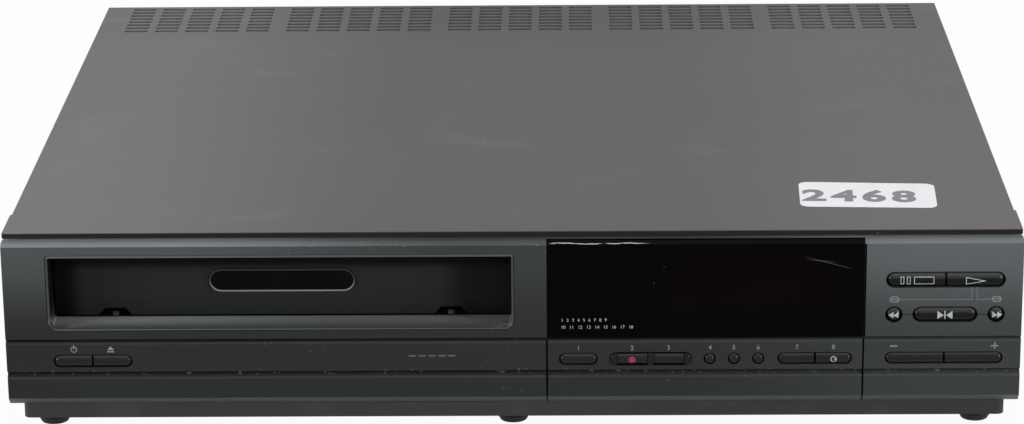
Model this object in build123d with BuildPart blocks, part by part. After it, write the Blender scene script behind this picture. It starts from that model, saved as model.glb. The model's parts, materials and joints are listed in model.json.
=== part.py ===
from build123d import *
from math import atan2, cos, degrees, radians, sin
import os

os.makedirs("parts", exist_ok=True)

# Driving dimensions of the recorder, in millimetres
depth = 360.0
crown = 0.9
foot_height = 7.1
base_rise = 6.5
deck_rise = 16.9
clearance = 0.3

# A cassette and the path that it takes: in by the carriage's travel, then down onto the reels
cassette_length = 188.0
cassette_thick = 25.0
slot_play = 3.4
slot_headroom = 6.2
seat_rise = 4.5
lift_travel = 18.3
carriage_travel = 48.0
headroom = 15.5
door_recess = 13.9

# Widths along the panel, from left to right; the keys under the window set its width
slot_margin = 19.0
window_gap = 14.5
key_margin = 5.0
tuner_length = 16.1
key_space = 5.3
record_length = 33.3
round_key_start = 7.8
round_key_pitch = 10.05
round_key_end = 8.0
timer_length = 30.9
key_end_margin = 4.5
transport_width = 65.1

# Sheet and wall thicknesses
cover_sheet = 1.0
base_wall = 2.5
base_floor = 2.0
panel_wall = 3.4
deck_sheet = 1.2
board_thick = 1.6

slot_length = cassette_length + slot_play
slot_rise = cassette_thick + slot_headroom
window_width = (
    key_margin
    + tuner_length
    + key_space
    + record_length
    + round_key_start
    + 2 * round_key_pitch
    + round_key_end
    + timer_length
    + key_end_margin
)
width = slot_margin + slot_length + window_gap + window_width + transport_width
right_edge = width / 2
slot_x = -width / 2 + slot_margin + slot_length / 2

# The panel's face is the plane from which every depth is counted
face_y = -depth / 2 + crown
rear_y = depth / 2
base_bottom = foot_height
base_inside = base_bottom + base_floor
panel_bottom = base_bottom + base_rise
deck_z = base_inside + deck_rise
path_z = deck_z + seat_rise + lift_travel
height = path_z + cassette_thick + headroom
hem_drop = 2.2
hem_gap = 0.7
panel_top = height - hem_drop - hem_gap


def at(behind):
    """Y place of a point that lies this far behind the panel's face."""
    return face_y + behind


def upright(behind):
    """Upright plane behind the panel's face, seen from the front."""
    return Plane.XZ.offset(-at(behind))


def on_deck(x, behind):
    """X and Y of a point counted from the cassette's middle line and the panel's face."""
    return (slot_x + x, at(behind))


# Top cover, a folded sheet with a wider band at its front edge and a hem over the panel
hem_start = 1.0
cover_start = 4.0
cover_inset = 1.5
band_inset = 0.7
band_end = 25.3
fold_flange = 8.0
rear_overhang = 2.9
rear_lip_drop = 8.0
vent_sets = 5
vent_groups = 5
vent_rows = 8
vent_set_pitch = 80.0
vent_pitch = 15.0
vent_row_pitch = 5.8
vent_length = 11.3
vent_slit = 3.0
vent_inset = 25.5

cover_half = width / 2 - cover_inset
band_half = width / 2 - band_inset
cover_rear = rear_y - face_y
rear_lip_back = cover_rear - rear_overhang
cover_top = height - cover_sheet
cover_side_height = height - panel_bottom
cover_middle_z = panel_bottom + cover_side_height / 2

with BuildPart() as top_cover:
    with BuildSketch(upright(band_end - cover_sheet)):
        with Locations((0, cover_middle_z)):
            Rectangle(2 * cover_half, cover_side_height)
            Rectangle(2 * (cover_half - cover_sheet), cover_side_height - 2 * cover_sheet, mode=Mode.SUBTRACT)
        with Locations((0, panel_bottom)):
            Rectangle(2 * (cover_half - fold_flange), 3 * cover_sheet, mode=Mode.SUBTRACT)
    extrude(amount=-(cover_rear - band_end + cover_sheet))
    with BuildSketch(upright(cover_start)):
        with Locations((0, cover_middle_z)):
            Rectangle(2 * band_half, cover_side_height)
        with Locations((0, cover_middle_z - cover_sheet)):
            Rectangle(2 * (band_half - cover_sheet), cover_side_height, mode=Mode.SUBTRACT)
    extrude(amount=-(band_end - cover_start))
    with BuildSketch(upright(hem_start)):
        with Locations((0, height - cover_sheet / 2)):
            Rectangle(2 * band_half, cover_sheet)
    extrude(amount=-(cover_start - hem_start))
    with BuildSketch(upright(hem_start)):
        with Locations((0, height - hem_drop / 2)):
            Rectangle(2 * band_half, hem_drop)
    extrude(amount=-cover_sheet)
    with BuildSketch(upright(rear_lip_back)):
        with Locations((0, cover_top - rear_lip_drop / 2)):
            Rectangle(2 * (cover_half - fold_flange), rear_lip_drop)
    extrude(amount=-cover_sheet)
    with BuildSketch(Plane.XY.offset(height)):
        with Locations((0, at(cover_rear - vent_inset))):
            with GridLocations(vent_set_pitch, 0, vent_sets, 1):
                with GridLocations(vent_pitch, vent_row_pitch, vent_groups, vent_rows):
                    Rectangle(vent_length, vent_slit)
    extrude(amount=-2 * cover_sheet, mode=Mode.SUBTRACT)

top_cover.part.label = "top_cover"
export_step(top_cover.part, "parts/top_cover.step")

# Base tray with the bosses that carry the deck and the main board
base_inset = 5.5
base_start = 3.0
base_end_gap = 1.2
base_corner = 3.0
deck_past_left = 11.5
deck_past_right = 10.5
deck_front = 42.0
deck_back = 292.0
deck_boss_inset = 7.5
deck_to_board = 9.0
deck_boss_radius = 4.0
board_side_gap = 10.5
board_front = 30.0
board_inset = 10.0
board_rise = 10.9
board_boss_radius = 3.5
board_boss_inset = 6.0

deck_left = -(cassette_length / 2 + deck_past_left)
deck_right = cassette_length / 2 + deck_past_right
base_half = width / 2 - base_inset
base_end = rear_lip_back - base_end_gap
board_left = slot_x + deck_right + deck_to_board
board_right = width / 2 - board_side_gap
board_z = base_inside + board_rise
board_back = base_end - board_inset
base_depth = base_end - base_start
base_middle = (0, at(base_start + base_depth / 2))
deck_width = deck_right - deck_left
deck_depth = deck_back - deck_front
deck_middle = on_deck((deck_left + deck_right) / 2, (deck_front + deck_back) / 2)
board_width = board_right - board_left
board_depth = board_back - board_front
board_middle = ((board_left + board_right) / 2, at((board_front + board_back) / 2))

with BuildPart() as base_tray:
    with BuildSketch(Plane.XY.offset(base_bottom)):
        with Locations(base_middle):
            RectangleRounded(2 * base_half, base_depth, base_corner)
    extrude(amount=base_rise)
    with BuildSketch(Plane.XY.offset(base_inside)):
        with Locations(base_middle):
            RectangleRounded(2 * (base_half - base_wall), base_depth - 2 * base_wall, base_corner - base_wall)
    extrude(amount=base_rise, mode=Mode.SUBTRACT)
    with BuildSketch(Plane.XY.offset(base_inside)):
        with Locations(deck_middle):
            with GridLocations(deck_width - 2 * deck_boss_inset, deck_depth - 2 * deck_boss_inset, 2, 2):
                Circle(deck_boss_radius)
    extrude(amount=deck_z - deck_sheet - base_inside)
    with BuildSketch(Plane.XY.offset(base_inside)):
        with Locations(board_middle):
            with GridLocations(board_width - 2 * board_boss_inset, board_depth - 2 * board_boss_inset, 2, 2):
                Circle(board_boss_radius)
    extrude(amount=board_z - base_inside)

base_tray.part.label = "base_tray"
export_step(base_tray.part, "parts/base_tray.step")

# Feet, three along the front and two behind, domed and flat below
foot_radius = 7.2
foot_sole = 5.7
foot_waist = 2.7
foot_inset = 16.1
foot_front = 19.0
foot_rear_inset = 25.0

foot_x = width / 2 - foot_inset
foot_rear = base_end - foot_rear_inset
foot_places = [(-foot_x, at(foot_front)), (0, at(foot_front)), (foot_x, at(foot_front))]
foot_places += [(-foot_x, at(foot_rear)), (foot_x, at(foot_rear))]

with BuildPart() as feet:
    for place in foot_places:
        with BuildSketch(Plane.XY):
            with Locations(place):
                Circle(foot_sole)
        with BuildSketch(Plane.XY.offset(foot_waist)):
            with Locations(place):
                Circle(foot_radius)
        loft()
        with BuildSketch(Plane.XY.offset(foot_waist)):
            with Locations(place):
                Circle(foot_radius)
        extrude(amount=foot_height - foot_waist)

feet.part.label = "feet"
export_step(feet.part, "parts/feet.step")

# Places and sizes of the buttons, seen from the front
key_row_rise = 19.9
pair_height = 5.6
key_height = 5.3
standby_inset = 19.6
standby_length = 32.9
transport_inset = 31.7
play_length = 49.2
play_height = 7.0
play_rise = 18.9
still_length = 26.8
still_height = 6.9
still_rise = 3.75
shuttle_spacing = 21.05
channel_length = 48.8
key_travel = 1.0
key_gap = 0.8
key_flange = 1.2
key_flange_thick = 1.2
stem_radius = 1.7
switch_reach = 3.5
round_radius = 2.55
shuttle_radius = 3.6

window_drop = 6.2
window_shy = 3.8
end_cap = 2.9
divider = 3.0

transport_x = right_edge - transport_inset
play_z = path_z + play_rise
still_z = path_z + still_rise
key_row_z = panel_bottom + key_row_rise
window_left = slot_x + slot_length / 2 + window_gap
window_right = window_left + window_width
window_bottom = path_z - window_drop
window_top = height - window_shy
tuner_left = window_left + key_margin
record_left = tuner_left + tuner_length + key_space
first_round_x = record_left + record_length + round_key_start
timer_left = first_round_x + 2 * round_key_pitch + round_key_end
standby_left = -width / 2 + standby_inset
rewind_x = transport_x - shuttle_spacing
forward_x = transport_x + shuttle_spacing


def pill_at(left, length, z, high):
    """A key place: its left and right ends, the height of its middle line and its own height."""
    return (left, left + length, z, high)


pill_standby = pill_at(standby_left, standby_length, key_row_z, pair_height)
pill_tuner = pill_at(tuner_left, tuner_length, key_row_z, key_height)
pill_record = pill_at(record_left, record_length, key_row_z, key_height)
pill_timer = pill_at(timer_left, timer_length, key_row_z, key_height)
pill_play = pill_at(transport_x - play_length / 2, play_length, play_z, play_height)
pill_still = pill_at(transport_x - still_length / 2, still_length, still_z, still_height)
pill_channel = pill_at(transport_x - channel_length / 2, channel_length, key_row_z, key_height)
record_middle = (pill_record[0] + pill_record[1]) / 2
round_key_x = [first_round_x + place * round_key_pitch for place in range(3)]


def halves(pill):
    """The left and right key of a pill that is split at its middle."""
    middle = (pill[0] + pill[1]) / 2
    return (pill[0], middle - key_gap / 2), (middle + key_gap / 2, pill[1])


standby_span, eject_span = halves(pill_standby)
select_span, timer_span = halves(pill_timer)
pause_span, play_span = halves(pill_play)
minus_span, plus_span = halves(pill_channel)
record_span = (pill_record[0] + end_cap, record_middle - divider / 2)
memory_span = (record_middle + divider / 2, pill_record[1] - end_cap)

# Each key: its name, the pill it belongs to and its own span along X
pill_keys = [
    ("standby_button", pill_standby, standby_span),
    ("eject_button", pill_standby, eject_span),
    ("tuner_button", pill_tuner, pill_tuner[:2]),
    ("record_button", pill_record, record_span),
    ("memory_button", pill_record, memory_span),
    ("select_button", pill_timer, select_span),
    ("timer_button", pill_timer, timer_span),
    ("pause_stop_button", pill_play, pause_span),
    ("play_button", pill_play, play_span),
    ("still_button", pill_still, pill_still[:2]),
    ("channel_down_button", pill_channel, minus_span),
    ("channel_up_button", pill_channel, plus_span),
]
whole_pills = [pill_standby, pill_tuner, pill_timer, pill_play, pill_still, pill_channel]

# Each round key: its name, its middle and the radius of its hole
round_keys = [
    ("install_button", round_key_x[0], key_row_z, round_radius),
    ("search_button", round_key_x[1], key_row_z, round_radius),
    ("store_button", round_key_x[2], key_row_z, round_radius),
    ("rewind_button", rewind_x, still_z, shuttle_radius),
    ("forward_button", forward_x, still_z, shuttle_radius),
]

# Front panel, one moulding with a face and a flange behind it
top_bevel = 2.9
foot_bevel = 3.2
upper_groove_drop = 6.5
lower_groove_rise = 13.7
upper_groove_depth = 1.6
lower_groove_depth = 2.0
groove_lip = 0.7
lower_groove_slope = 1.5
upper_groove_slope = 1.0
panel_flange = 20.5
flange_wall = 2.0
flange_inset = 2.2
flange_shy = 0.5
face_corner = 2.0
link_line = 0.5
slit_width = 0.8
slit_depth = 1.0
front_board_back = 14.5
panel_boss = 3.0
pad_round = 0.7
boss_inset = 10.0
slot_drop = 1.4
slot_rim = 0.5
slot_side_rim = 1.2
rim_gap = 0.25
slot_top_round = 0.4
slot_bottom_round = 2.9

upper_groove_z = path_z - upper_groove_drop
lower_groove_z = panel_bottom + lower_groove_rise
slot_bottom = path_z - slot_drop
slot_top = slot_bottom + slot_rise
slot_hole_bottom = slot_bottom - slot_rim - rim_gap
slot_hole_top = slot_top + slot_side_rim
slot_hole_half = slot_length / 2 + slot_side_rim
panel_height = panel_top - panel_bottom
panel_middle_z = panel_bottom + panel_height / 2
flange_half = width / 2 - flange_inset
flange_top = panel_top - flange_shy
flange_middle_z = (flange_top + panel_bottom) / 2
flange_height = flange_top - panel_bottom
flange_inside = flange_half - flange_wall
boss_low = panel_bottom + boss_inset
boss_high = panel_top - boss_inset
board_bosses = [(window_left + boss_inset, boss_low), (right_edge - boss_inset, boss_low)]
board_bosses += [(window_right + boss_inset, boss_high), (right_edge - boss_inset, boss_high)]
side_bosses = [(pill_standby[0] - panel_boss, boss_low), (pill_standby[1] + panel_boss, boss_low)]
still_links = [(rewind_x + shuttle_radius, pill_still[0]), (pill_still[1], forward_x - shuttle_radius)]

with BuildPart() as front_panel:
    with BuildSketch(Plane.YZ.offset(-width / 2)):
        with BuildLine():
            Polyline(
                (at(foot_bevel), panel_bottom),
                (at(0), panel_bottom + foot_bevel),
                (at(0), lower_groove_z - lower_groove_slope),
                (at(lower_groove_depth), lower_groove_z + groove_lip),
                (at(0), lower_groove_z + 2 * groove_lip),
                (at(0), upper_groove_z - upper_groove_slope),
                (at(upper_groove_depth), upper_groove_z + groove_lip / 2),
                (at(0), upper_groove_z + groove_lip),
                (at(0), panel_top - top_bevel),
                (at(panel_wall), panel_top - top_bevel + panel_wall),
                (at(panel_wall), panel_bottom),
                close=True,
            )
        make_face()
    extrude(amount=width)
    with BuildSketch(upright(0)):
        with Locations((0, panel_middle_z)):
            Rectangle(width, panel_height)
        fillet(vertices().group_by(Axis.Y)[-1], face_corner)
    extrude(amount=-panel_wall, mode=Mode.INTERSECT)
    with BuildSketch(upright(panel_wall)):
        with Locations((0, flange_middle_z)):
            Rectangle(2 * flange_half, flange_height)
            Rectangle(2 * flange_inside, flange_height - 2 * flange_wall, mode=Mode.SUBTRACT)
    extrude(amount=-panel_flange)
    with BuildSketch(upright(panel_wall)):
        with Locations(board_bosses + side_bosses):
            Circle(panel_boss)
    extrude(amount=-(front_board_back - panel_wall))
    with BuildSketch(upright(0)):
        with Locations((slot_x, (slot_hole_bottom + slot_hole_top) / 2)):
            Rectangle(2 * slot_hole_half, slot_hole_top - slot_hole_bottom)
        fillet(vertices().group_by(Axis.Y)[-1], slot_top_round + slot_side_rim)
        fillet(vertices().group_by(Axis.Y)[0], slot_bottom_round + slot_side_rim)
    extrude(amount=-panel_wall, mode=Mode.SUBTRACT)
    with BuildSketch(upright(0)):
        with Locations(((window_left + window_right) / 2, (window_bottom + window_top) / 2)):
            Rectangle(window_right - window_left, window_top - window_bottom)
        for pill in whole_pills:
            with Locations(((pill[0] + pill[1]) / 2, pill[2])):
                SlotOverall(pill[1] - pill[0], pill[3])
        for span in (record_span, memory_span):
            with Locations(((span[0] + span[1]) / 2, pill_record[2])):
                Rectangle(span[1] - span[0] + 2 * clearance, pill_record[3])
        for name, x, z, radius in round_keys:
            with Locations((x, z)):
                Circle(radius)
    extrude(amount=-panel_wall, mode=Mode.SUBTRACT)
    with BuildSketch(upright(0)):
        with Locations(((pill_record[0] + pill_record[1]) / 2, pill_record[2])):
            SlotOverall(pill_record[1] - pill_record[0], pill_record[3])
        for span in (record_span, memory_span):
            with Locations(((span[0] + span[1]) / 2, pill_record[2])):
                Rectangle(span[1] - span[0] + 2 * clearance, pill_record[3], mode=Mode.SUBTRACT)
    extrude(amount=crown)
    pad_fronts = front_panel.faces().filter_by(Plane.XZ).sort_by(Axis.Y).group_by(Axis.Y)[0]
    fillet(pad_fronts.edges().filter_by(Axis.Z, reverse=True), pad_round)
    with BuildSketch(upright(0)):
        for x in (window_left, window_right):
            with Locations((x, (panel_bottom + upper_groove_z) / 2)):
                Rectangle(slit_width, upper_groove_z - panel_bottom)
    extrude(amount=-slit_depth, mode=Mode.SUBTRACT)
    with BuildSketch(upright(0)):
        for left, right in still_links:
            with Locations(((left + right) / 2, still_z)):
                Rectangle(right - left + 2 * link_line, link_line)
    extrude(amount=-link_line, mode=Mode.SUBTRACT)

front_panel.part.label = "front_panel"
export_step(front_panel.part, "parts/front_panel.step")

# Buttons, each a domed cap with a retaining flange and a stem
crest_flat = 0.35
stem_end = front_board_back - switch_reach - key_travel - key_gap

for name, pill, span in pill_keys:
    shared_middle = (pill[0] + pill[1]) / 2
    grow_left = 0 if abs(span[0] - shared_middle) < key_gap else key_flange
    grow_right = 0 if abs(span[1] - shared_middle) < key_gap else key_flange
    flange_left = span[0] - grow_left
    flange_right = span[1] + grow_right
    with BuildPart() as button:
        with BuildSketch(upright(-crown)):
            with Locations((shared_middle, pill[2])):
                SlotOverall(pill[1] - pill[0] - 2 * clearance, pill[3] - 2 * clearance)
            with Locations(((span[0] + span[1]) / 2, pill[2])):
                Rectangle(span[1] - span[0], pill[3], mode=Mode.INTERSECT)
        extrude(amount=-(crown + panel_wall))
        cap_edges = button.faces().sort_by(Axis.Y)[0].edges().filter_by(Axis.Z, reverse=True)
        fillet(cap_edges, pill[3] / 2 - clearance - crest_flat)
        with BuildSketch(upright(panel_wall)):
            with Locations((shared_middle, pill[2])):
                Rectangle(pill[1] - pill[0] + 2 * key_flange, pill[3] + 2 * key_flange)
            with Locations(((flange_left + flange_right) / 2, pill[2])):
                Rectangle(flange_right - flange_left, 2 * pill[3], mode=Mode.INTERSECT)
        extrude(amount=-key_flange_thick)
        with BuildSketch(upright(panel_wall + key_flange_thick)):
            with Locations(((span[0] + span[1]) / 2, pill[2])):
                Circle(stem_radius)
        extrude(amount=-(stem_end - panel_wall - key_flange_thick))
    button.part.label = name
    export_step(button.part, f"parts/{name}.step")

for name, x, z, radius in round_keys:
    with BuildPart() as button:
        with BuildSketch(upright(-crown)):
            with Locations((x, z)):
                Circle(radius - clearance)
        extrude(amount=-(crown + panel_wall))
        fillet(button.faces().sort_by(Axis.Y)[0].edges(), radius - clearance - crest_flat)
        with BuildSketch(upright(panel_wall)):
            with Locations((x, z)):
                Circle(radius + key_flange)
        extrude(amount=-key_flange_thick)
        with BuildSketch(upright(panel_wall + key_flange_thick)):
            with Locations((x, z)):
                Circle(stem_radius)
        extrude(amount=-(stem_end - panel_wall - key_flange_thick))
    button.part.label = name
    export_step(button.part, f"parts/{name}.step")

# Display window, a smoked plate with a bevelled top and a wider back
window_set_back = 0.2
window_back = 1.4
window_lap = 2.0
window_front_top = panel_top - top_bevel
window_low = window_bottom + window_set_back
window_high = window_top - clearance
window_plate_top = flange_top - flange_wall - clearance
window_plate_low = window_bottom - window_lap

with BuildPart() as display_window:
    with BuildSketch(Plane.YZ.offset(window_left + window_set_back)):
        with BuildLine():
            Polyline(
                (at(window_set_back), window_low),
                (at(window_set_back), window_front_top),
                (at(window_set_back + window_high - window_front_top), window_high),
                (at(panel_wall), window_high),
                (at(panel_wall), window_low),
                close=True,
            )
        make_face()
    extrude(amount=window_right - window_left - 2 * window_set_back)
    with BuildSketch(upright(panel_wall)):
        with Locations(((window_left + window_right) / 2, (window_plate_low + window_plate_top) / 2)):
            Rectangle(window_right - window_left + 2 * window_lap, window_plate_top - window_plate_low)
    extrude(amount=-window_back)

display_window.part.label = "display_window"
export_step(display_window.part, "parts/display_window.step")

# Slot frame: rim, tunnel, sloping lip and the ears that carry the door
rim_set_back = 0.2
frame_lap = 2.5
frame_flange = 1.2
lip_end_drop = 0.5
lip_middle = 5.5
lip_middle_rise = 0.6
door_gap = 0.4
hinge_back = 15.2
hinge_rise = 32.7
hinge_pin = 1.25
pin_fit = 0.05
ear_thick = 1.8
ear_start = 8.3
ear_end = 18.3
ear_drop = 9.0
ear_top = 1.8

hinge_z = path_z + hinge_rise
tunnel_end = door_recess - door_gap
tunnel_half = slot_hole_half - rim_gap
tunnel_bottom = slot_hole_bottom + rim_gap
tunnel_top = slot_hole_top - rim_gap

with BuildSketch(upright(rim_set_back)) as frame_outline:
    with Locations((slot_x, (tunnel_bottom + tunnel_top) / 2)):
        Rectangle(2 * tunnel_half, tunnel_top - tunnel_bottom)
    fillet(vertices().group_by(Axis.Y)[-1], slot_top_round + slot_side_rim - rim_gap)
    fillet(vertices().group_by(Axis.Y)[0], slot_bottom_round + slot_side_rim - rim_gap)

with BuildSketch(upright(rim_set_back)) as frame_mouth:
    with Locations((slot_x, (slot_bottom + slot_top) / 2)):
        Rectangle(slot_length, slot_rise)
    fillet(vertices().group_by(Axis.Y)[-1], slot_top_round)
    fillet(vertices().group_by(Axis.Y)[0], slot_bottom_round)

with BuildPart() as slot_frame:
    with BuildSketch(Plane.YZ.offset(slot_x - tunnel_half)):
        with BuildLine():
            ThreePointArc(
                (at(2 * rim_set_back), slot_bottom),
                (at(lip_middle), slot_bottom + lip_middle_rise),
                (at(tunnel_end), path_z - lip_end_drop),
            )
            Polyline(
                (at(tunnel_end), path_z - lip_end_drop),
                (at(tunnel_end), tunnel_bottom),
                (at(2 * rim_set_back), tunnel_bottom),
                (at(2 * rim_set_back), slot_bottom),
            )
        make_face()
    extrude(amount=2 * tunnel_half)
    extrude(frame_outline.sketch, amount=-(tunnel_end - rim_set_back), mode=Mode.INTERSECT)
    with BuildSketch(upright(rim_set_back)):
        add(frame_outline.sketch_local)
        add(frame_mouth.sketch_local, mode=Mode.SUBTRACT)
    extrude(amount=-(tunnel_end - rim_set_back))
    with BuildSketch(upright(panel_wall)):
        with Locations((slot_x, (tunnel_bottom + tunnel_top) / 2)):
            Rectangle(2 * (tunnel_half + frame_lap), tunnel_top - tunnel_bottom + 2 * frame_lap)
        add(frame_outline.sketch_local, mode=Mode.SUBTRACT)
    extrude(amount=-frame_flange)
    for side in (-1, 1):
        with BuildSketch(Plane.YZ.offset(slot_x + side * (slot_length / 2 + ear_thick / 2 + clearance))):
            with Locations((at((ear_start + ear_end) / 2), hinge_z + (ear_top - ear_drop) / 2)):
                Rectangle(ear_end - ear_start, ear_top + ear_drop)
            with Locations((at(hinge_back), hinge_z)):
                Circle(hinge_pin + pin_fit, mode=Mode.SUBTRACT)
        extrude(amount=ear_thick / 2, both=True)

slot_frame.part.label = "slot_frame"
export_step(slot_frame.part, "parts/slot_frame.step")

# Cassette door with its hinge barrel, its pins and two notches at the lower edge
door_thick = 1.6
door_side_gap = 0.5
door_bottom_gap = 0.1
barrel_radius = 1.6
notch_middle = 70.2
notch_wide = 13.9
notch_narrow = 8.5
notch_high = 3.1
badge_length = 60.9
badge_height = 9.9
badge_thick = 0.5
badge_rise = 15.3

badge_z = path_z + badge_rise
door_half = slot_length / 2 - door_side_gap
door_bottom = path_z + door_bottom_gap
pin_reach = slot_length / 2 + clearance + ear_thick

with BuildPart() as cassette_door:
    with BuildSketch(upright(door_recess)):
        with Locations((slot_x, (door_bottom + hinge_z) / 2)):
            Rectangle(2 * door_half, hinge_z - door_bottom)
        for side in (-1, 1):
            middle = slot_x + side * notch_middle
            with BuildLine():
                Polyline(
                    (middle - notch_wide / 2, door_bottom),
                    (middle - notch_narrow / 2, door_bottom + notch_high),
                    (middle + notch_narrow / 2, door_bottom + notch_high),
                    (middle + notch_wide / 2, door_bottom),
                    close=True,
                )
            make_face(mode=Mode.SUBTRACT)
    extrude(amount=-door_thick)
    with BuildSketch(Plane.YZ.offset(slot_x)):
        with Locations((at(hinge_back), hinge_z)):
            Circle(barrel_radius)
    extrude(amount=door_half, both=True)
    with BuildSketch(Plane.YZ.offset(slot_x)):
        with Locations((at(hinge_back), hinge_z)):
            Circle(hinge_pin)
    extrude(amount=pin_reach, both=True)

cassette_door.part.label = "cassette_door"
export_step(cassette_door.part, "parts/cassette_door.step")

with BuildPart() as door_badge:
    with BuildSketch(upright(door_recess - badge_thick)):
        with Locations((slot_x, badge_z)):
            SlotOverall(badge_length, badge_height)
    extrude(amount=-badge_thick)

door_badge.part.label = "door_badge"
export_step(door_badge.part, "parts/door_badge.step")

# Front boards behind the buttons, each with its key switches, and the display tube
front_board_edge = 3.3
side_board_rise = 30.0
tube_inset = 26.0
tube_margin = 10.0
tube_corner = 4.0
switch_size = 6.0
tube_start = 6.0

tube_left = window_left + tube_inset
tube_right = window_right - tube_inset
tube_low = window_bottom + tube_margin
tube_high = window_front_top - tube_margin
front_board_low = panel_bottom + front_board_edge
front_board_high = panel_top - front_board_edge
side_board_high = panel_bottom + side_board_rise
front_board_left = board_bosses[0][0] - 2 * panel_boss
front_board_right = board_bosses[1][0] + panel_boss
front_board_middle = (front_board_left + front_board_right) / 2
side_board_left = side_bosses[0][0] - panel_boss
side_board_right = side_bosses[1][0] + panel_boss

switch_places = [((span[0] + span[1]) / 2, pill[2]) for name, pill, span in pill_keys]
switch_places += [(x, z) for name, x, z, radius in round_keys]

with BuildPart() as front_board:
    with BuildSketch(upright(front_board_back)):
        with Locations((front_board_middle, (front_board_low + front_board_high) / 2)):
            Rectangle(front_board_right - front_board_left, front_board_high - front_board_low)
        with Locations(((side_board_left + side_board_right) / 2, (front_board_low + side_board_high) / 2)):
            Rectangle(side_board_right - side_board_left, side_board_high - front_board_low)
    extrude(amount=-board_thick)
    with BuildSketch(upright(front_board_back)):
        with Locations(switch_places):
            Rectangle(switch_size, switch_size)
    extrude(amount=switch_reach)

front_board.part.label = "front_board"
export_step(front_board.part, "parts/front_board.step")

with BuildPart() as display_tube:
    with BuildSketch(upright(tube_start)):
        with Locations(((tube_left + tube_right) / 2, (tube_low + tube_high) / 2)):
            RectangleRounded(tube_right - tube_left, tube_high - tube_low, tube_corner)
    extrude(amount=-(front_board_back - tube_start))

display_tube.part.label = "display_tube"
export_step(display_tube.part, "parts/display_tube.step")

# Places on the deck: X from the cassette's middle line, then the depth behind the panel's face
drum_back = 231.0
drum_tilt = 5.9
drum_radius = 31.0
lower_drum_height = 10.0
upper_drum_height = 14.7
drum_running_gap = 0.3
drum_base_radius = 33.0
drum_base_thick = 3.0
drum_shaft = 2.0
rotor_radius = 22.0
rotor_drop = 20.0
rotor_thick = 5.0
drum_foot = 4.0
drum_foot_circle = 26.0
shaft_fit = 0.05

reel_half_pitch = 46.0
reel_back = 134.0
reel_radius = 23.0
reel_rise = 1.5
reel_disc = 2.5
reel_hub = 9.0
reel_hub_reach = 11.5
reel_boss = 5.0
reel_post = 1.5
reel_cap = 1.0
deck_lift = 0.3

idler_reach = 20.4
idler_radius = 13.0
clutch_gear = 7.0
clutch_pulley_radius = 12.0
clutch_shaft = 1.5
arm_thick = 0.9

capstan_place = (68.0, 204.0)
capstan_radius = 2.0
capstan_above_tape = 13.0
flywheel_radius = 30.0
flywheel_rise = 2.6
flywheel_thick = 4.8
capstan_pulley = 8.0
belt_drop = 5.8
belt_height = 2.0
belt_thick = 1.2
pulley_margin = 0.4

pinch_place = (76.0, 222.0)
pinch_arm_length = 24.0
pinch_rest_angle = -57.2
pinch_roller_radius = 7.0
tension_place = (-78.0, 220.0)
tension_reach = (20.0, -27.5)
arm_post = 2.0

guide_circle = 49.0
guide_start = 18.0
guide_end = 125.0
guide_slot = 5.6
guide_pin = 2.5

motor_place = (-74.0, 264.0)
motor_radius = 12.0
motor_height = 28.0
motor_shaft = 1.0
gear_module = 0.8
cam_teeth = 60
pinion_teeth = 12
gear_drop = 5.8
gear_thick = 3.0
gear_backlash = 0.2

erase_place = (-61.0, 217.0)
audio_place = (64.0, 243.0)
support_places = [(-72.0, 112.0), (72.0, 112.0), (-72.0, 176.0), (72.0, 176.0)]
support_radius = 3.0

tape_z = path_z - lift_travel + cassette_thick / 2
drum_z = tape_z - lower_drum_height
deck_low = deck_z - deck_sheet
reel_low = deck_z + reel_rise
reel_hub_top = path_z - lift_travel + reel_hub_reach
capstan_top = tape_z + capstan_above_tape
flywheel_low = base_inside + flywheel_rise
belt_low = deck_low - belt_drop
pulley_low = belt_low - pulley_margin
pulley_high = belt_low + belt_height + pulley_margin
motor_top = deck_z + motor_height
gear_low = deck_low - gear_drop
cam_radius = gear_module * cam_teeth / 2
pinion_radius = gear_module * pinion_teeth / 2
cam_place = (motor_place[0], motor_place[1] - cam_radius - pinion_radius - gear_backlash)
idler_pivot_back = reel_back - idler_reach
drum_plane = Plane(
    origin=(slot_x, at(drum_back), drum_z),
    x_dir=(cos(radians(drum_tilt)), 0, -sin(radians(drum_tilt))),
    z_dir=(sin(radians(drum_tilt)), 0, cos(radians(drum_tilt))),
)
support_top = path_z - lift_travel - clearance


def around_drum(angle, radius=guide_circle):
    """Place on a circle about the drum; the angle counts from the front."""
    return (slot_x + radius * sin(radians(angle)), at(drum_back) - radius * cos(radians(angle)))


def guide_track(side):
    """Middle line of the slot that one tape guide runs along."""
    start = -90 + side * guide_start
    return CenterArc(on_deck(0, drum_back), guide_circle, start, side * (guide_end - guide_start))


# Deck chassis with its slots, bearing holes and posts
guide_tracks = [guide_track(side) for side in (-1, 1)]

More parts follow.
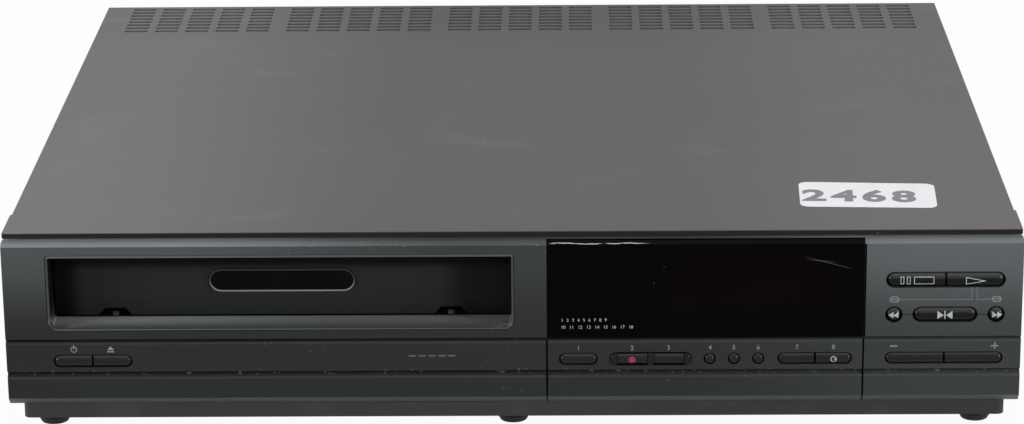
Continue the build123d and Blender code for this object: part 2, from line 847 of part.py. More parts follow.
with BuildPart() as deck_chassis:
    with BuildSketch(Plane.XY.offset(deck_low)):
        with Locations(deck_middle):
            Rectangle(deck_width, deck_depth)
        for track in guide_tracks:
            SlotArc(track, guide_slot, mode=Mode.SUBTRACT)
        with Locations(on_deck(0, drum_back)):
            Circle(3 * drum_shaft, mode=Mode.SUBTRACT)
        with Locations(on_deck(*capstan_place)):
            Circle(2 * capstan_radius, mode=Mode.SUBTRACT)
        with Locations(on_deck(0, idler_pivot_back)):
            Circle(clutch_shaft + shaft_fit, mode=Mode.SUBTRACT)
        with Locations(on_deck(*motor_place)):
            Circle(3 * motor_shaft, mode=Mode.SUBTRACT)
    extrude(amount=deck_sheet)
    with BuildSketch(Plane.XY.offset(deck_z)):
        with Locations(on_deck(-reel_half_pitch, reel_back), on_deck(reel_half_pitch, reel_back)):
            Circle(reel_post)
    extrude(amount=reel_hub_top - reel_cap - deck_z)
    with BuildSketch(Plane.XY.offset(deck_z)):
        with Locations([on_deck(*place) for place in support_places]):
            Circle(support_radius)
    extrude(amount=support_top - deck_z)
    with BuildSketch(Plane.XY.offset(deck_z)):
        with Locations(on_deck(*tension_place), on_deck(*pinch_place)):
            Circle(arm_post)
    extrude(amount=5 * arm_thick)
    with BuildSketch(Plane.XY.offset(gear_low - clearance)):
        with Locations(on_deck(*cam_place)):
            Circle(arm_post)
    extrude(amount=deck_low - gear_low + clearance)

deck_chassis.part.label = "deck_chassis"
export_step(deck_chassis.part, "parts/deck_chassis.step")

# Lift frames: the upright plates whose slots guide the carriage
holder_wall = 1.0
holder_play = 0.5
carriage_gap = 1.5
carriage_sheet = 1.2
frame_gap = 1.4
frame_sheet = 1.2
frame_foot = 6.0
frame_front = 54.0
frame_back = 186.0
frame_headroom = 4.3
carriage_headroom = 2.0
carriage_front = 62.0
carriage_back = 132.0
carriage_drop = 11.8
carriage_bar_front = 92.0
carriage_bar_back = 104.0
carriage_pin = 2.5
carriage_pin_rise = 22.5
carriage_pins = (67.0, 127.0)
holder_front = 52.0
holder_back = 142.0
holder_pin = 2.0
holder_pin_rise = 12.5
holder_pins = (77.0, 117.0)
pin_play = 0.2

holder_half = cassette_length / 2 + holder_play
frame_top = cover_top - frame_headroom
carriage_low = path_z - carriage_drop
carriage_high = frame_top - carriage_headroom
carriage_pin_z = path_z + carriage_pin_rise
holder_pin_z = path_z + holder_pin_rise
holder_outside = holder_half + holder_wall
carriage_inside = holder_outside + carriage_gap
carriage_outside = carriage_inside + carriage_sheet
frame_inside = carriage_outside + frame_gap

with BuildPart() as lift_frames:
    for side in (-1, 1):
        start = slot_x + side * (frame_inside + frame_sheet / 2)
        with BuildSketch(Plane.YZ.offset(start)):
            with Locations((at((frame_front + frame_back) / 2), (deck_z + frame_top) / 2)):
                Rectangle(frame_back - frame_front, frame_top - deck_z)
            for pin in carriage_pins:
                with Locations((at(pin + carriage_travel / 2), carriage_pin_z)):
                    length = carriage_travel + 2 * (carriage_pin + pin_play)
                    SlotOverall(length, 2 * (carriage_pin + pin_play), mode=Mode.SUBTRACT)
        extrude(amount=frame_sheet / 2, both=True)
        foot_x_middle = slot_x + side * (frame_inside + frame_foot / 2)
        with BuildSketch(Plane.XY.offset(deck_z)):
            with Locations((foot_x_middle, at((frame_front + frame_back) / 2))):
                Rectangle(frame_foot, frame_back - frame_front)
        extrude(amount=frame_sheet)

lift_frames.part.label = "lift_frames"
export_step(lift_frames.part, "parts/lift_frames.step")

# Carriage: slides in along the frames and carries the cassette holder
with BuildPart() as carriage:
    for side in (-1, 1):
        with BuildSketch(Plane.YZ.offset(slot_x + side * (carriage_inside + carriage_sheet / 2))):
            with Locations((at((carriage_front + carriage_back) / 2), (carriage_low + carriage_high) / 2)):
                Rectangle(carriage_back - carriage_front, carriage_high - carriage_low)
            for pin in holder_pins:
                with Locations((at(pin), holder_pin_z - lift_travel / 2)):
                    length = lift_travel + 2 * (holder_pin + pin_play)
                    SlotOverall(length, 2 * (holder_pin + pin_play), rotation=90, mode=Mode.SUBTRACT)
        extrude(amount=carriage_sheet / 2, both=True)
        for pin in carriage_pins:
            with BuildSketch(Plane.YZ.offset(slot_x + side * carriage_outside)):
                with Locations((at(pin), carriage_pin_z)):
                    Circle(carriage_pin)
            extrude(amount=side * (frame_gap + 2 * frame_sheet))
    with BuildSketch(Plane.XY.offset(carriage_high - carriage_sheet)):
        with Locations((slot_x, at((carriage_bar_front + carriage_bar_back) / 2))):
            Rectangle(2 * carriage_outside, carriage_bar_back - carriage_bar_front)
    extrude(amount=carriage_sheet)

carriage.part.label = "carriage"
export_step(carriage.part, "parts/carriage.step")

# Cassette holder: a tray with side ledges, open below for the reels
holder_ledge = 14.0
holder_floor = 1.0
holder_headroom = 0.5
window_cut = (110.0, 46.0)
stop_tab = 8.0
stop_middle = 75.0
stop_drop = 7.0

ledge_low = path_z - holder_floor - 0.2
holder_ceiling = path_z + cassette_thick + holder_headroom
holder_top = holder_ceiling + holder_wall
holder_middle = at((holder_front + holder_back) / 2)
holder_depth = holder_back - holder_front

with BuildPart() as cassette_holder:
    with BuildSketch(upright(holder_front)):
        with Locations((slot_x, (ledge_low + holder_top) / 2)):
            Rectangle(2 * holder_outside, holder_top - ledge_low)
        with Locations((slot_x, (ledge_low + holder_floor + holder_ceiling) / 2)):
            Rectangle(2 * holder_half, holder_ceiling - ledge_low - holder_floor, mode=Mode.SUBTRACT)
        with Locations((slot_x, ledge_low)):
            Rectangle(2 * (holder_half - holder_ledge), 3 * holder_floor, mode=Mode.SUBTRACT)
    extrude(amount=-holder_depth)
    with BuildSketch(Plane.XY.offset(holder_top)):
        with Locations((slot_x, holder_middle)):
            RectangleRounded(window_cut[0], window_cut[1], 2 * holder_pin)
    extrude(amount=-2 * holder_wall, mode=Mode.SUBTRACT)
    with BuildSketch(upright(holder_back)):
        for side in (-1, 1):
            with Locations((slot_x + side * stop_middle, holder_ceiling - stop_drop / 2)):
                Rectangle(stop_tab, stop_drop)
    extrude(amount=holder_wall)
    for side in (-1, 1):
        for pin in holder_pins:
            with BuildSketch(Plane.YZ.offset(slot_x + side * holder_outside)):
                with Locations((at(pin), holder_pin_z)):
                    Circle(holder_pin)
            extrude(amount=side * (carriage_gap + carriage_sheet + frame_gap / 2))

cassette_holder.part.label = "cassette_holder"
export_step(cassette_holder.part, "parts/cassette_holder.step")

# Reel tables, each a disc with a splined hub on its post
spline_wide = 1.6

for name, side in (("supply_reel", -1), ("takeup_reel", 1)):
    place = on_deck(side * reel_half_pitch, reel_back)
    with BuildPart() as reel:
        with BuildSketch(Plane.XY.offset(deck_z + deck_lift)):
            with Locations(place):
                Circle(reel_boss)
        extrude(amount=reel_low - deck_z - deck_lift)
        with BuildSketch(Plane.XY.offset(reel_low)):
            with Locations(place):
                Circle(reel_radius)
        extrude(amount=reel_disc)
        with BuildSketch(Plane.XY.offset(reel_low + reel_disc)):
            with Locations(place):
                Circle(reel_hub - spline_wide)
                with PolarLocations(reel_hub - spline_wide, 6):
                    Rectangle(2 * spline_wide, spline_wide)
        extrude(amount=reel_hub_top - reel_low - reel_disc)
        with BuildSketch(Plane.XY.offset(deck_z)):
            with Locations(place):
                Circle(reel_post + shaft_fit)
        extrude(amount=reel_hub_top - reel_cap + deck_lift - deck_z, mode=Mode.SUBTRACT)
    reel.part.label = name
    export_step(reel.part, f"parts/{name}.step")

# Idler: the clutch pulley drives it, and its arm swings it to either reel
arm_half = 4.0
idler_pin = 1.0

with BuildPart() as clutch_pulley:
    with BuildSketch(Plane.XY.offset(pulley_low)):
        with Locations(on_deck(0, idler_pivot_back)):
            Circle(clutch_pulley_radius)
    extrude(amount=pulley_high - pulley_low)
    with BuildSketch(Plane.XY.offset(pulley_high)):
        with Locations(on_deck(0, idler_pivot_back)):
            Circle(clutch_shaft)
    extrude(amount=reel_low - pulley_high)
    with BuildSketch(Plane.XY.offset(reel_low)):
        with Locations(on_deck(0, idler_pivot_back)):
            Circle(clutch_gear)
    extrude(amount=reel_disc)

clutch_pulley.part.label = "clutch_pulley"
export_step(clutch_pulley.part, "parts/clutch_pulley.step")

with BuildPart() as idler_arm:
    with BuildSketch(Plane.XY.offset(deck_z + deck_lift)):
        with Locations(on_deck(0, (idler_pivot_back + reel_back) / 2)):
            SlotCenterToCenter(idler_reach, 2 * arm_half, rotation=90)
        with Locations(on_deck(0, idler_pivot_back)):
            Circle(clutch_shaft + shaft_fit, mode=Mode.SUBTRACT)
    extrude(amount=arm_thick)
    with BuildSketch(Plane.XY.offset(deck_z + deck_lift)):
        with Locations(on_deck(0, reel_back)):
            Circle(idler_pin)
    extrude(amount=reel_low + reel_disc + 1 - deck_z - deck_lift)

idler_arm.part.label = "idler_arm"
export_step(idler_arm.part, "parts/idler_arm.step")

with BuildPart() as idler_wheel:
    with BuildSketch(Plane.XY.offset(reel_low)):
        with Locations(on_deck(0, reel_back)):
            Circle(idler_radius)
            Circle(idler_pin + shaft_fit, mode=Mode.SUBTRACT)
    extrude(amount=reel_disc)

idler_wheel.part.label = "idler_wheel"
export_step(idler_wheel.part, "parts/idler_wheel.step")

# Drive belt from the capstan to the clutch pulley, a closed loop
with BuildPart() as drive_belt:
    with BuildSketch(Plane.XY.offset(belt_low)):
        with Locations(on_deck(*capstan_place)):
            Circle(capstan_pulley + clearance + belt_thick)
        with Locations(on_deck(0, idler_pivot_back)):
            Circle(clutch_pulley_radius + clearance + belt_thick)
        make_hull()
    extrude(amount=belt_height)
    with BuildSketch(Plane.XY.offset(belt_low)):
        with Locations(on_deck(*capstan_place)):
            Circle(capstan_pulley + clearance)
        with Locations(on_deck(0, idler_pivot_back)):
            Circle(clutch_pulley_radius + clearance)
        make_hull()
    extrude(amount=belt_height, mode=Mode.SUBTRACT)

drive_belt.part.label = "drive_belt"
export_step(drive_belt.part, "parts/drive_belt.step")

# Drum: base, fixed lower drum, spinning upper drum, and the rotor on its shaft
head_notch = 3.0
rim_step = 5.0

with BuildPart() as drum_base:
    with BuildSketch(drum_plane.offset(-drum_base_thick)):
        Circle(drum_base_radius)
        Circle(2 * drum_shaft, mode=Mode.SUBTRACT)
    extrude(amount=drum_base_thick)
    with BuildSketch(Plane.XY.offset(deck_z)):
        with Locations(on_deck(0, drum_back)):
            with PolarLocations(drum_foot_circle, 3, start_angle=90):
                Circle(drum_foot)
    extrude(until=Until.NEXT)

drum_base.part.label = "drum_base"
export_step(drum_base.part, "parts/drum_base.step")

with BuildPart() as lower_drum:
    with BuildSketch(drum_plane):
        Circle(drum_radius)
        Circle(drum_shaft + shaft_fit, mode=Mode.SUBTRACT)
    extrude(amount=lower_drum_height)

lower_drum.part.label = "lower_drum"
export_step(lower_drum.part, "parts/lower_drum.step")

upper_drum_low = lower_drum_height + drum_running_gap

with BuildPart() as upper_drum:
    with BuildSketch(drum_plane.offset(upper_drum_low)):
        Circle(drum_radius)
        with PolarLocations(drum_radius, 2):
            Rectangle(head_notch, head_notch, mode=Mode.SUBTRACT)
    extrude(amount=rim_step)
    with BuildSketch(drum_plane.offset(upper_drum_low + rim_step)):
        Circle(drum_radius)
    extrude(amount=upper_drum_height - rim_step)
    with BuildSketch(drum_plane.offset(upper_drum_low + upper_drum_height)):
        Circle(drum_radius - rim_step)
        Circle(4 * drum_shaft, mode=Mode.SUBTRACT)
    extrude(amount=-rim_step / 2, mode=Mode.SUBTRACT)

upper_drum.part.label = "upper_drum"
export_step(upper_drum.part, "parts/upper_drum.step")

with BuildPart() as drum_rotor:
    with BuildSketch(drum_plane.offset(-rotor_drop)):
        Circle(rotor_radius)
    extrude(amount=rotor_thick)
    with BuildSketch(drum_plane.offset(-rotor_drop)):
        Circle(drum_shaft)
    extrude(amount=rotor_drop + upper_drum_low)

drum_rotor.part.label = "drum_rotor"
export_step(drum_rotor.part, "parts/drum_rotor.step")

# Capstan with its flywheel and pulley, and the bearing that holds it on the deck
bearing_flange = 8.0
bearing_wall = 1.0
bearing_height = 7.0

bearing_tube = capstan_radius + bearing_wall

with BuildPart() as capstan:
    with BuildSketch(Plane.XY.offset(flywheel_low)):
        with Locations(on_deck(*capstan_place)):
            Circle(flywheel_radius)
    extrude(amount=flywheel_thick)
    with BuildSketch(Plane.XY.offset(flywheel_low + flywheel_thick)):
        with Locations(on_deck(*capstan_place)):
            Circle(capstan_pulley)
    extrude(amount=pulley_high - flywheel_low - flywheel_thick)
    with BuildSketch(Plane.XY.offset(base_inside + clearance)):
        with Locations(on_deck(*capstan_place)):
            Circle(capstan_radius)
    extrude(amount=capstan_top - base_inside - clearance)

capstan.part.label = "capstan"
export_step(capstan.part, "parts/capstan.step")

with BuildPart() as capstan_bearing:
    with BuildSketch(Plane.XY.offset(deck_z)):
        with Locations(on_deck(*capstan_place)):
            Circle(bearing_flange)
    extrude(amount=deck_sheet)
    with BuildSketch(Plane.XY.offset(deck_z)):
        with Locations(on_deck(*capstan_place)):
            Circle(bearing_tube)
    extrude(amount=bearing_height)
    with BuildSketch(Plane.XY.offset(deck_z)):
        with Locations(on_deck(*capstan_place)):
            Circle(capstan_radius + shaft_fit)
    extrude(amount=bearing_height, mode=Mode.SUBTRACT)

capstan_bearing.part.label = "capstan_bearing"
export_step(capstan_bearing.part, "parts/capstan_bearing.step")

# Pinch arm with its roller, swung clear of the capstan at rest
pinch_arm_thick = 1.5
roller_below = 9.0
roller_above = 8.0
roller_pin = 1.5

pinch_arm_low = deck_z + deck_sheet + 2 * clearance
roller_low = tape_z - roller_below
roller_high = tape_z + roller_above
roller_x = pinch_place[0] + pinch_arm_length * cos(radians(pinch_rest_angle))
roller_back = pinch_place[1] + pinch_arm_length * sin(radians(pinch_rest_angle))
roller_place = on_deck(roller_x, roller_back)
pinch_middle = on_deck((pinch_place[0] + roller_x) / 2, (pinch_place[1] + roller_back) / 2)

with BuildPart() as pinch_arm:
    with BuildSketch(Plane.XY.offset(pinch_arm_low)):
        with Locations(pinch_middle):
            SlotCenterToCenter(pinch_arm_length, 2 * arm_half, rotation=pinch_rest_angle)
        with Locations(on_deck(*pinch_place)):
            Circle(arm_post + shaft_fit, mode=Mode.SUBTRACT)
    extrude(amount=pinch_arm_thick)
    with BuildSketch(Plane.XY.offset(pinch_arm_low)):
        with Locations(roller_place):
            Circle(roller_pin)
    extrude(amount=roller_high + 2 * arm_thick - pinch_arm_low)
    with BuildSketch(Plane.XY.offset(pinch_arm_low)):
        with Locations(roller_place):
            Circle(2 * roller_pin)
    extrude(amount=roller_low - clearance - pinch_arm_low)

pinch_arm.part.label = "pinch_arm"
export_step(pinch_arm.part, "parts/pinch_arm.step")

with BuildPart() as pinch_roller:
    with BuildSketch(Plane.XY.offset(roller_low)):
        with Locations(roller_place):
            Circle(pinch_roller_radius)
            Circle(roller_pin + shaft_fit, mode=Mode.SUBTRACT)
    extrude(amount=roller_high - roller_low)

pinch_roller.part.label = "pinch_roller"
export_step(pinch_roller.part, "parts/pinch_roller.step")

# Tension arm with the pin that feels the tape
tension_pin = 1.5
tension_pin_above = 5.0

tension_pin_top = tape_z + tension_pin_above
tension_length = Vector(*tension_reach).length
tension_angle = degrees(atan2(tension_reach[1], tension_reach[0]))
tension_tip = (tension_place[0] + tension_reach[0], tension_place[1] + tension_reach[1])
tension_middle_x = tension_place[0] + tension_reach[0] / 2
tension_middle = on_deck(tension_middle_x, tension_place[1] + tension_reach[1] / 2)

with BuildPart() as tension_arm:
    with BuildSketch(Plane.XY.offset(pinch_arm_low)):
        with Locations(tension_middle):
            SlotCenterToCenter(tension_length, 1.5 * arm_half, rotation=tension_angle)
        with Locations(on_deck(*tension_place)):
            Circle(arm_half + arm_thick)
            Circle(arm_post + shaft_fit, mode=Mode.SUBTRACT)
    extrude(amount=pinch_arm_thick)
    with BuildSketch(Plane.XY.offset(pinch_arm_low)):
        with Locations(on_deck(*tension_tip)):
            Circle(tension_pin)
    extrude(amount=tension_pin_top - pinch_arm_low)

tension_arm.part.label = "tension_arm"
export_step(tension_arm.part, "parts/tension_arm.step")

# Tape guides that ride round the drum in the deck's curved slots
guide_block = (12.0, 9.0)
guide_block_high = 6.0
guide_washer = 4.5
guide_washer_thick = 1.0
guide_washer_gap = 0.4
guide_roller = 3.0
guide_roller_half = 7.0
guide_post = 1.3
guide_cap = 2.0

guide_washer_low = deck_low - guide_washer_thick - guide_washer_gap
guide_roller_low = tape_z - guide_roller_half
guide_roller_high = tape_z + guide_roller_half

for name, side in (("left_guide", -1), ("right_guide", 1)):
    place = around_drum(side * guide_start)
    with BuildPart() as guide:
        with BuildSketch(Plane.XY.offset(deck_z + deck_lift)):
            with Locations(place):
                Rectangle(guide_block[0], guide_block[1], rotation=side * guide_start)
        extrude(amount=guide_block_high)
        with BuildSketch(Plane.XY.offset(guide_washer_low)):
            with Locations(place):
                Circle(guide_pin)
        extrude(amount=deck_z + deck_lift - guide_washer_low)
        with BuildSketch(Plane.XY.offset(guide_washer_low)):
            with Locations(place):
                Circle(guide_washer)
        extrude(amount=guide_washer_thick)
        with BuildSketch(Plane.XY.offset(deck_z + guide_block_high)):
            with Locations(place):
                Circle(guide_post)
        extrude(amount=guide_roller_high + guide_cap - deck_z - guide_block_high)
        with BuildSketch(Plane.XY.offset(guide_roller_low)):
            with Locations(place):
                Circle(guide_roller)
        extrude(amount=guide_roller_high - guide_roller_low)
    guide.part.label = name
    export_step(guide.part, f"parts/{name}.step")

# Loading drive: motor, its pinion and the cam gear under the deck
tooth_root = 1.3
tooth_tip = 0.5
tooth_rise = 0.6
tooth_sink = 0.9

with BuildPart() as loading_motor:
    with BuildSketch(Plane.XY.offset(deck_z)):
        with Locations(on_deck(*motor_place)):
            Circle(motor_radius)
    extrude(amount=motor_top - deck_z)
    with BuildSketch(Plane.XY.offset(deck_z)):
        with Locations(on_deck(*motor_place)):
            Circle(motor_shaft + shaft_fit)
    extrude(amount=motor_radius, mode=Mode.SUBTRACT)

loading_motor.part.label = "loading_motor"
export_step(loading_motor.part, "parts/loading_motor.step")

# Each gear: its name, its place, its pitch radius, its teeth and the angle of the first tooth
gears = [
    ("cam_gear", cam_place, cam_radius, cam_teeth, 180 / cam_teeth),
    ("motor_pinion", motor_place, pinion_radius, pinion_teeth, 0),
]

for name, place, radius, teeth, first in gears:
    root = radius - tooth_sink
    tip = radius + tooth_rise
    with BuildPart() as gear:
        with BuildSketch(Plane.XY.offset(gear_low)):
            with Locations(on_deck(*place)):
                Circle(root)
                with PolarLocations(0, teeth, start_angle=first):
                    Polygon(
                        (root - tooth_tip, -tooth_root / 2),
                        (tip, -tooth_tip / 2),
                        (tip, tooth_tip / 2),
                        (root - tooth_tip, tooth_root / 2),
                        align=None,
                    )
                if name == "cam_gear":
                    Circle(arm_post + shaft_fit, mode=Mode.SUBTRACT)
        extrude(amount=gear_thick)
        if name == "motor_pinion":
            with BuildSketch(Plane.XY.offset(gear_low)):
                with Locations(on_deck(*place)):
                    Circle(motor_shaft)
            extrude(amount=deck_z + motor_radius / 2 - gear_low)
    gear.part.label = name
    export_step(gear.part, f"parts/{name}.step")

# Fixed tape heads on their stands
head_block = (12.0, 8.0)
head_half = 8.0
head_stand = 4.0

head_low = tape_z - head_half
head_high = tape_z + head_half

with BuildPart() as tape_heads:
    for place in (erase_place, audio_place):
        with BuildSketch(Plane.XY.offset(deck_z)):
            with Locations(on_deck(*place)):
                Circle(head_stand)
        extrude(amount=head_low - deck_z)
        with BuildSketch(Plane.XY.offset(head_low)):
            with Locations(on_deck(*place)):
                Rectangle(head_block[0], head_block[1])
        extrude(amount=head_high - head_low)

tape_heads.part.label = "tape_heads"
export_step(tape_heads.part, "parts/tape_heads.step")

# Main board with its chips and capacitors
chip_size = (18.0, 8.0)
chip_high = 4.0
chips_inset = 77.0
chips_back = 130.0
chip_pitch = (36.0, 30.0)
can_radius = 5.0
can_high = 20.0
cans_inset = 30.0
cans_back = 245.0
can_pitch = 18.0

chip_middle = (board_left + chips_inset, at(chips_back))
can_middle = (board_left + cans_inset, at(cans_back))
board_top = board_z + board_thick

with BuildPart() as main_board:
    with BuildSketch(Plane.XY.offset(board_z)):
        with Locations(board_middle):
            Rectangle(board_width, board_depth)
    extrude(amount=board_thick)
    with BuildSketch(Plane.XY.offset(board_top)):
        with Locations(chip_middle):
            with GridLocations(chip_pitch[0], chip_pitch[1], 4, 5):
                Rectangle(chip_size[0], chip_size[1])
    extrude(amount=chip_high)
    with BuildSketch(Plane.XY.offset(board_top)):
        with Locations(can_middle):
            with GridLocations(can_pitch, can_pitch, 3, 2):
                Circle(can_radius)
    extrude(amount=can_high)

main_board.part.label = "main_board"
export_step(main_board.part, "parts/main_board.step")

# Transformer: laminated core round a coil
core_inset = 42.5
core_back = 264.0
core_size = (54.0, 24.0, 44.0)
coil_size = (30.0, 50.0, 32.0)
coil_corner = 4.0

core_x = right_edge - core_inset

with BuildPart() as transformer:
    with BuildSketch(Plane.XY.offset(board_top)):
        with Locations((core_x, at(core_back))):
            Rectangle(core_size[0], core_size[1])
    extrude(amount=core_size[2])
    with BuildSketch(Plane.XY.offset(board_top + (core_size[2] - coil_size[2]) / 2)):
        with Locations((core_x, at(core_back))):
            RectangleRounded(coil_size[0], coil_size[1], coil_corner)
    extrude(amount=coil_size[2])

transformer.part.label = "transformer"
export_step(transformer.part, "parts/transformer.step")

# Heat sink with upright fins
sink_offset = 52.0
sink_size = (4.0, 60.0, 42.0)
fin_count = 8
fin_pitch = 8.0
fin_reach = 10.0
fin_thick = 1.6

sink_x = core_x - sink_offset

with BuildPart() as heat_sink:
    with BuildSketch(Plane.XY.offset(board_top)):
        with Locations((sink_x, at(core_back))):
            Rectangle(sink_size[0], sink_size[1])
        with Locations((sink_x + fin_reach / 2, at(core_back))):
            with GridLocations(0, fin_pitch, 1, fin_count):
                Rectangle(fin_reach, fin_thick)
    extrude(amount=sink_size[2])

heat_sink.part.label = "heat_sink"
export_step(heat_sink.part, "parts/heat_sink.step")

# Aerial unit, a screened box, and its two coaxial sockets
aerial_inset = 6.0
aerial_size = (60.0, 50.0, 34.0)
aerial_set_back = 9.0
socket_proud = 2.5
socket_rise = 18.4
socket_inset = 16.0
socket_bore = 4.8
socket_outside = 6.0
plug_outside = 4.7
plug_bore = 4.1
contact_radius = 1.2
socket_depth = 9.0

aerial_left = board_left + aerial_inset
aerial_back = base_end - aerial_set_back
socket_end = base_end + socket_proud
socket_z = board_top + socket_rise
socket_in_x = aerial_left + socket_inset
socket_out_x = aerial_left + aerial_size[0] - socket_inset

with BuildPart() as aerial_unit:
    with BuildSketch(Plane.XY.offset(board_top)):
        with Locations((aerial_left + aerial_size[0] / 2, at(aerial_back - aerial_size[1] / 2))):
            Rectangle(aerial_size[0], aerial_size[1])
    extrude(amount=aerial_size[2])
    with BuildSketch(upright(aerial_back)):
        with Locations((socket_in_x, socket_z)):
            Circle(socket_outside)
    extrude(amount=-(socket_end - aerial_back))
    with BuildSketch(upright(aerial_back)):
        with Locations((socket_out_x, socket_z)):
            Circle(socket_outside)
    extrude(amount=-(socket_end - aerial_back - socket_depth))
    with BuildSketch(upright(aerial_back)):
        with Locations((socket_out_x, socket_z)):
            Circle(plug_outside)
    extrude(amount=-(socket_end - aerial_back))
    with BuildSketch(upright(socket_end)):
        with Locations((socket_in_x, socket_z)):
            Circle(socket_bore)
        with Locations((socket_out_x, socket_z)):
            Circle(plug_bore)
    extrude(amount=socket_depth, mode=Mode.SUBTRACT)
    with BuildSketch(upright(socket_end - socket_depth)):
        with Locations((socket_in_x, socket_z), (socket_out_x, socket_z)):
            Circle(contact_radius)
    extrude(amount=-socket_depth)

aerial_unit.part.label = "aerial_unit"
export_step(aerial_unit.part, "parts/aerial_unit.step")

# Audio and video socket with twenty contacts, standing on the main board
av_offset = 104.0
av_size = (52.0, 15.0)
av_body = 22.5
av_mouth = (47.0, 11.0)
av_depth = 9.0
av_contact = (1.0, 2.2)
av_contact_pitch = (3.8, 4.6)
av_columns = 10
av_contact_reach = 3.0

av_x = board_left + av_offset
av_z = board_top + av_size[1] / 2
av_start = socket_end - av_body

with BuildPart() as av_socket:
    with BuildSketch(upright(av_start)):
        with Locations((av_x, av_z)):
            Rectangle(av_size[0], av_size[1])
    extrude(amount=-(socket_end - av_start))
    with BuildSketch(upright(socket_end)):
        with Locations((av_x, av_z)):
            Rectangle(av_mouth[0], av_mouth[1])
        chamfer(vertices().group_by(Axis.X)[0].sort_by(Axis.Y)[-1], av_mouth[1] / 3)
    extrude(amount=av_depth, mode=Mode.SUBTRACT)
    with BuildSketch(upright(socket_end - av_depth)):
        with Locations((av_x, av_z)):
            with GridLocations(av_contact_pitch[0], av_contact_pitch[1], av_columns, 2):
                Rectangle(av_contact[0], av_contact[1])
    extrude(amount=-av_contact_reach)

av_socket.part.label = "av_socket"
export_step(av_socket.part, "parts/av_socket.step")

# Mains inlet, a two-pin recess with rounded ends
inlet_inset = 28.5
inlet_size = (23.0, 15.0)
inlet_body = 19.5
inlet_mouth = (15.4, 8.4)
inlet_depth = 12.0
inlet_pin = 1.2
inlet_pin_pitch = 8.6
inlet_pin_short = 3.0

inlet_x = right_edge - inlet_inset
inlet_z = board_top + inlet_size[1] / 2
inlet_start = socket_end - inlet_body

with BuildPart() as mains_inlet:
    with BuildSketch(upright(inlet_start)):
        with Locations((inlet_x, inlet_z)):
            Rectangle(inlet_size[0], inlet_size[1])
    extrude(amount=-(socket_end - inlet_start))
    with BuildSketch(upright(socket_end)):
        with Locations((inlet_x, inlet_z)):
            SlotOverall(inlet_mouth[0], inlet_mouth[1])
    extrude(amount=inlet_depth, mode=Mode.SUBTRACT)
    with BuildSketch(upright(socket_end - inlet_depth)):
        with Locations((inlet_x, inlet_z)):
            with GridLocations(inlet_pin_pitch, 0, 2, 1):
                Circle(inlet_pin)
    extrude(amount=-(inlet_depth - inlet_pin_short))

mains_inlet.part.label = "mains_inlet"
export_step(mains_inlet.part, "parts/mains_inlet.step")

# Rear panel with openings round the sockets
rear_half = cover_half - cover_sheet - clearance
rear_low_half = cover_half - fold_flange - clearance
rear_top = cover_top - clearance
rear_step = panel_bottom + cover_sheet + clearance
aerial_cut = (50.0, 22.0)
cut_gap = 0.5

with BuildPart() as rear_panel:
    with BuildSketch(upright(base_end)):
        with Locations((0, (rear_step + rear_top) / 2)):
            Rectangle(2 * rear_half, rear_top - rear_step)
        with Locations((0, (base_bottom + rear_step) / 2)):
            Rectangle(2 * rear_low_half, rear_step - base_bottom)
        with Locations(((socket_in_x + socket_out_x) / 2, socket_z)):
            Rectangle(aerial_cut[0], aerial_cut[1], mode=Mode.SUBTRACT)
        with Locations((av_x, av_z)):
            Rectangle(av_size[0] + 2 * cut_gap, av_size[1] + 2 * cut_gap, mode=Mode.SUBTRACT)
        with Locations((inlet_x, inlet_z)):
            Rectangle(inlet_size[0] + 2 * cut_gap, inlet_size[1] + 2 * cut_gap, mode=Mode.SUBTRACT)
    extrude(amount=-(rear_lip_back - base_end))

rear_panel.part.label = "rear_panel"
export_step(rear_panel.part, "parts/rear_panel.step")

# Cover screws: three behind and two on each side
screw_radius = 3.4
screw_head = 1.0
screw_cross = (3.4, 0.9)
screw_span = 150.0
side_screw_rise = 12.0
side_screw_inset = 70.0
side_screws = (side_screw_inset, cover_rear - side_screw_inset)
rear_screw_z = cover_top - rear_lip_drop / 2

with BuildPart() as cover_screws:
    with BuildSketch(upright(rear_lip_back + cover_sheet)):
        with Locations((-screw_span, rear_screw_z), (0, rear_screw_z), (screw_span, rear_screw_z)):
            Circle(screw_radius)
    extrude(amount=-screw_head)
    with BuildSketch(upright(rear_lip_back + cover_sheet + screw_head)):
        with Locations((-screw_span, rear_screw_z), (0, rear_screw_z), (screw_span, rear_screw_z)):
            Rectangle(screw_cross[0], screw_cross[1])
            Rectangle(screw_cross[1], screw_cross[0])
    extrude(amount=screw_head / 2, mode=Mode.SUBTRACT)
    for side in (-1, 1):
        with BuildSketch(Plane.YZ.offset(side * cover_half)):
            for place in side_screws:
                with Locations((at(place), panel_bottom + side_screw_rise)):
                    Circle(screw_radius)
        extrude(amount=side * screw_head)

cover_screws.part.label = "cover_screws"
export_step(cover_screws.part, "parts/cover_screws.step")
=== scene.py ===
"""Looks of a front-loading video cassette recorder: finishes, marks, label, camera and light."""
import json
import math

import bmesh
import bpy
from mathutils import Matrix, Vector
from mathutils.bvhtree import BVHTree


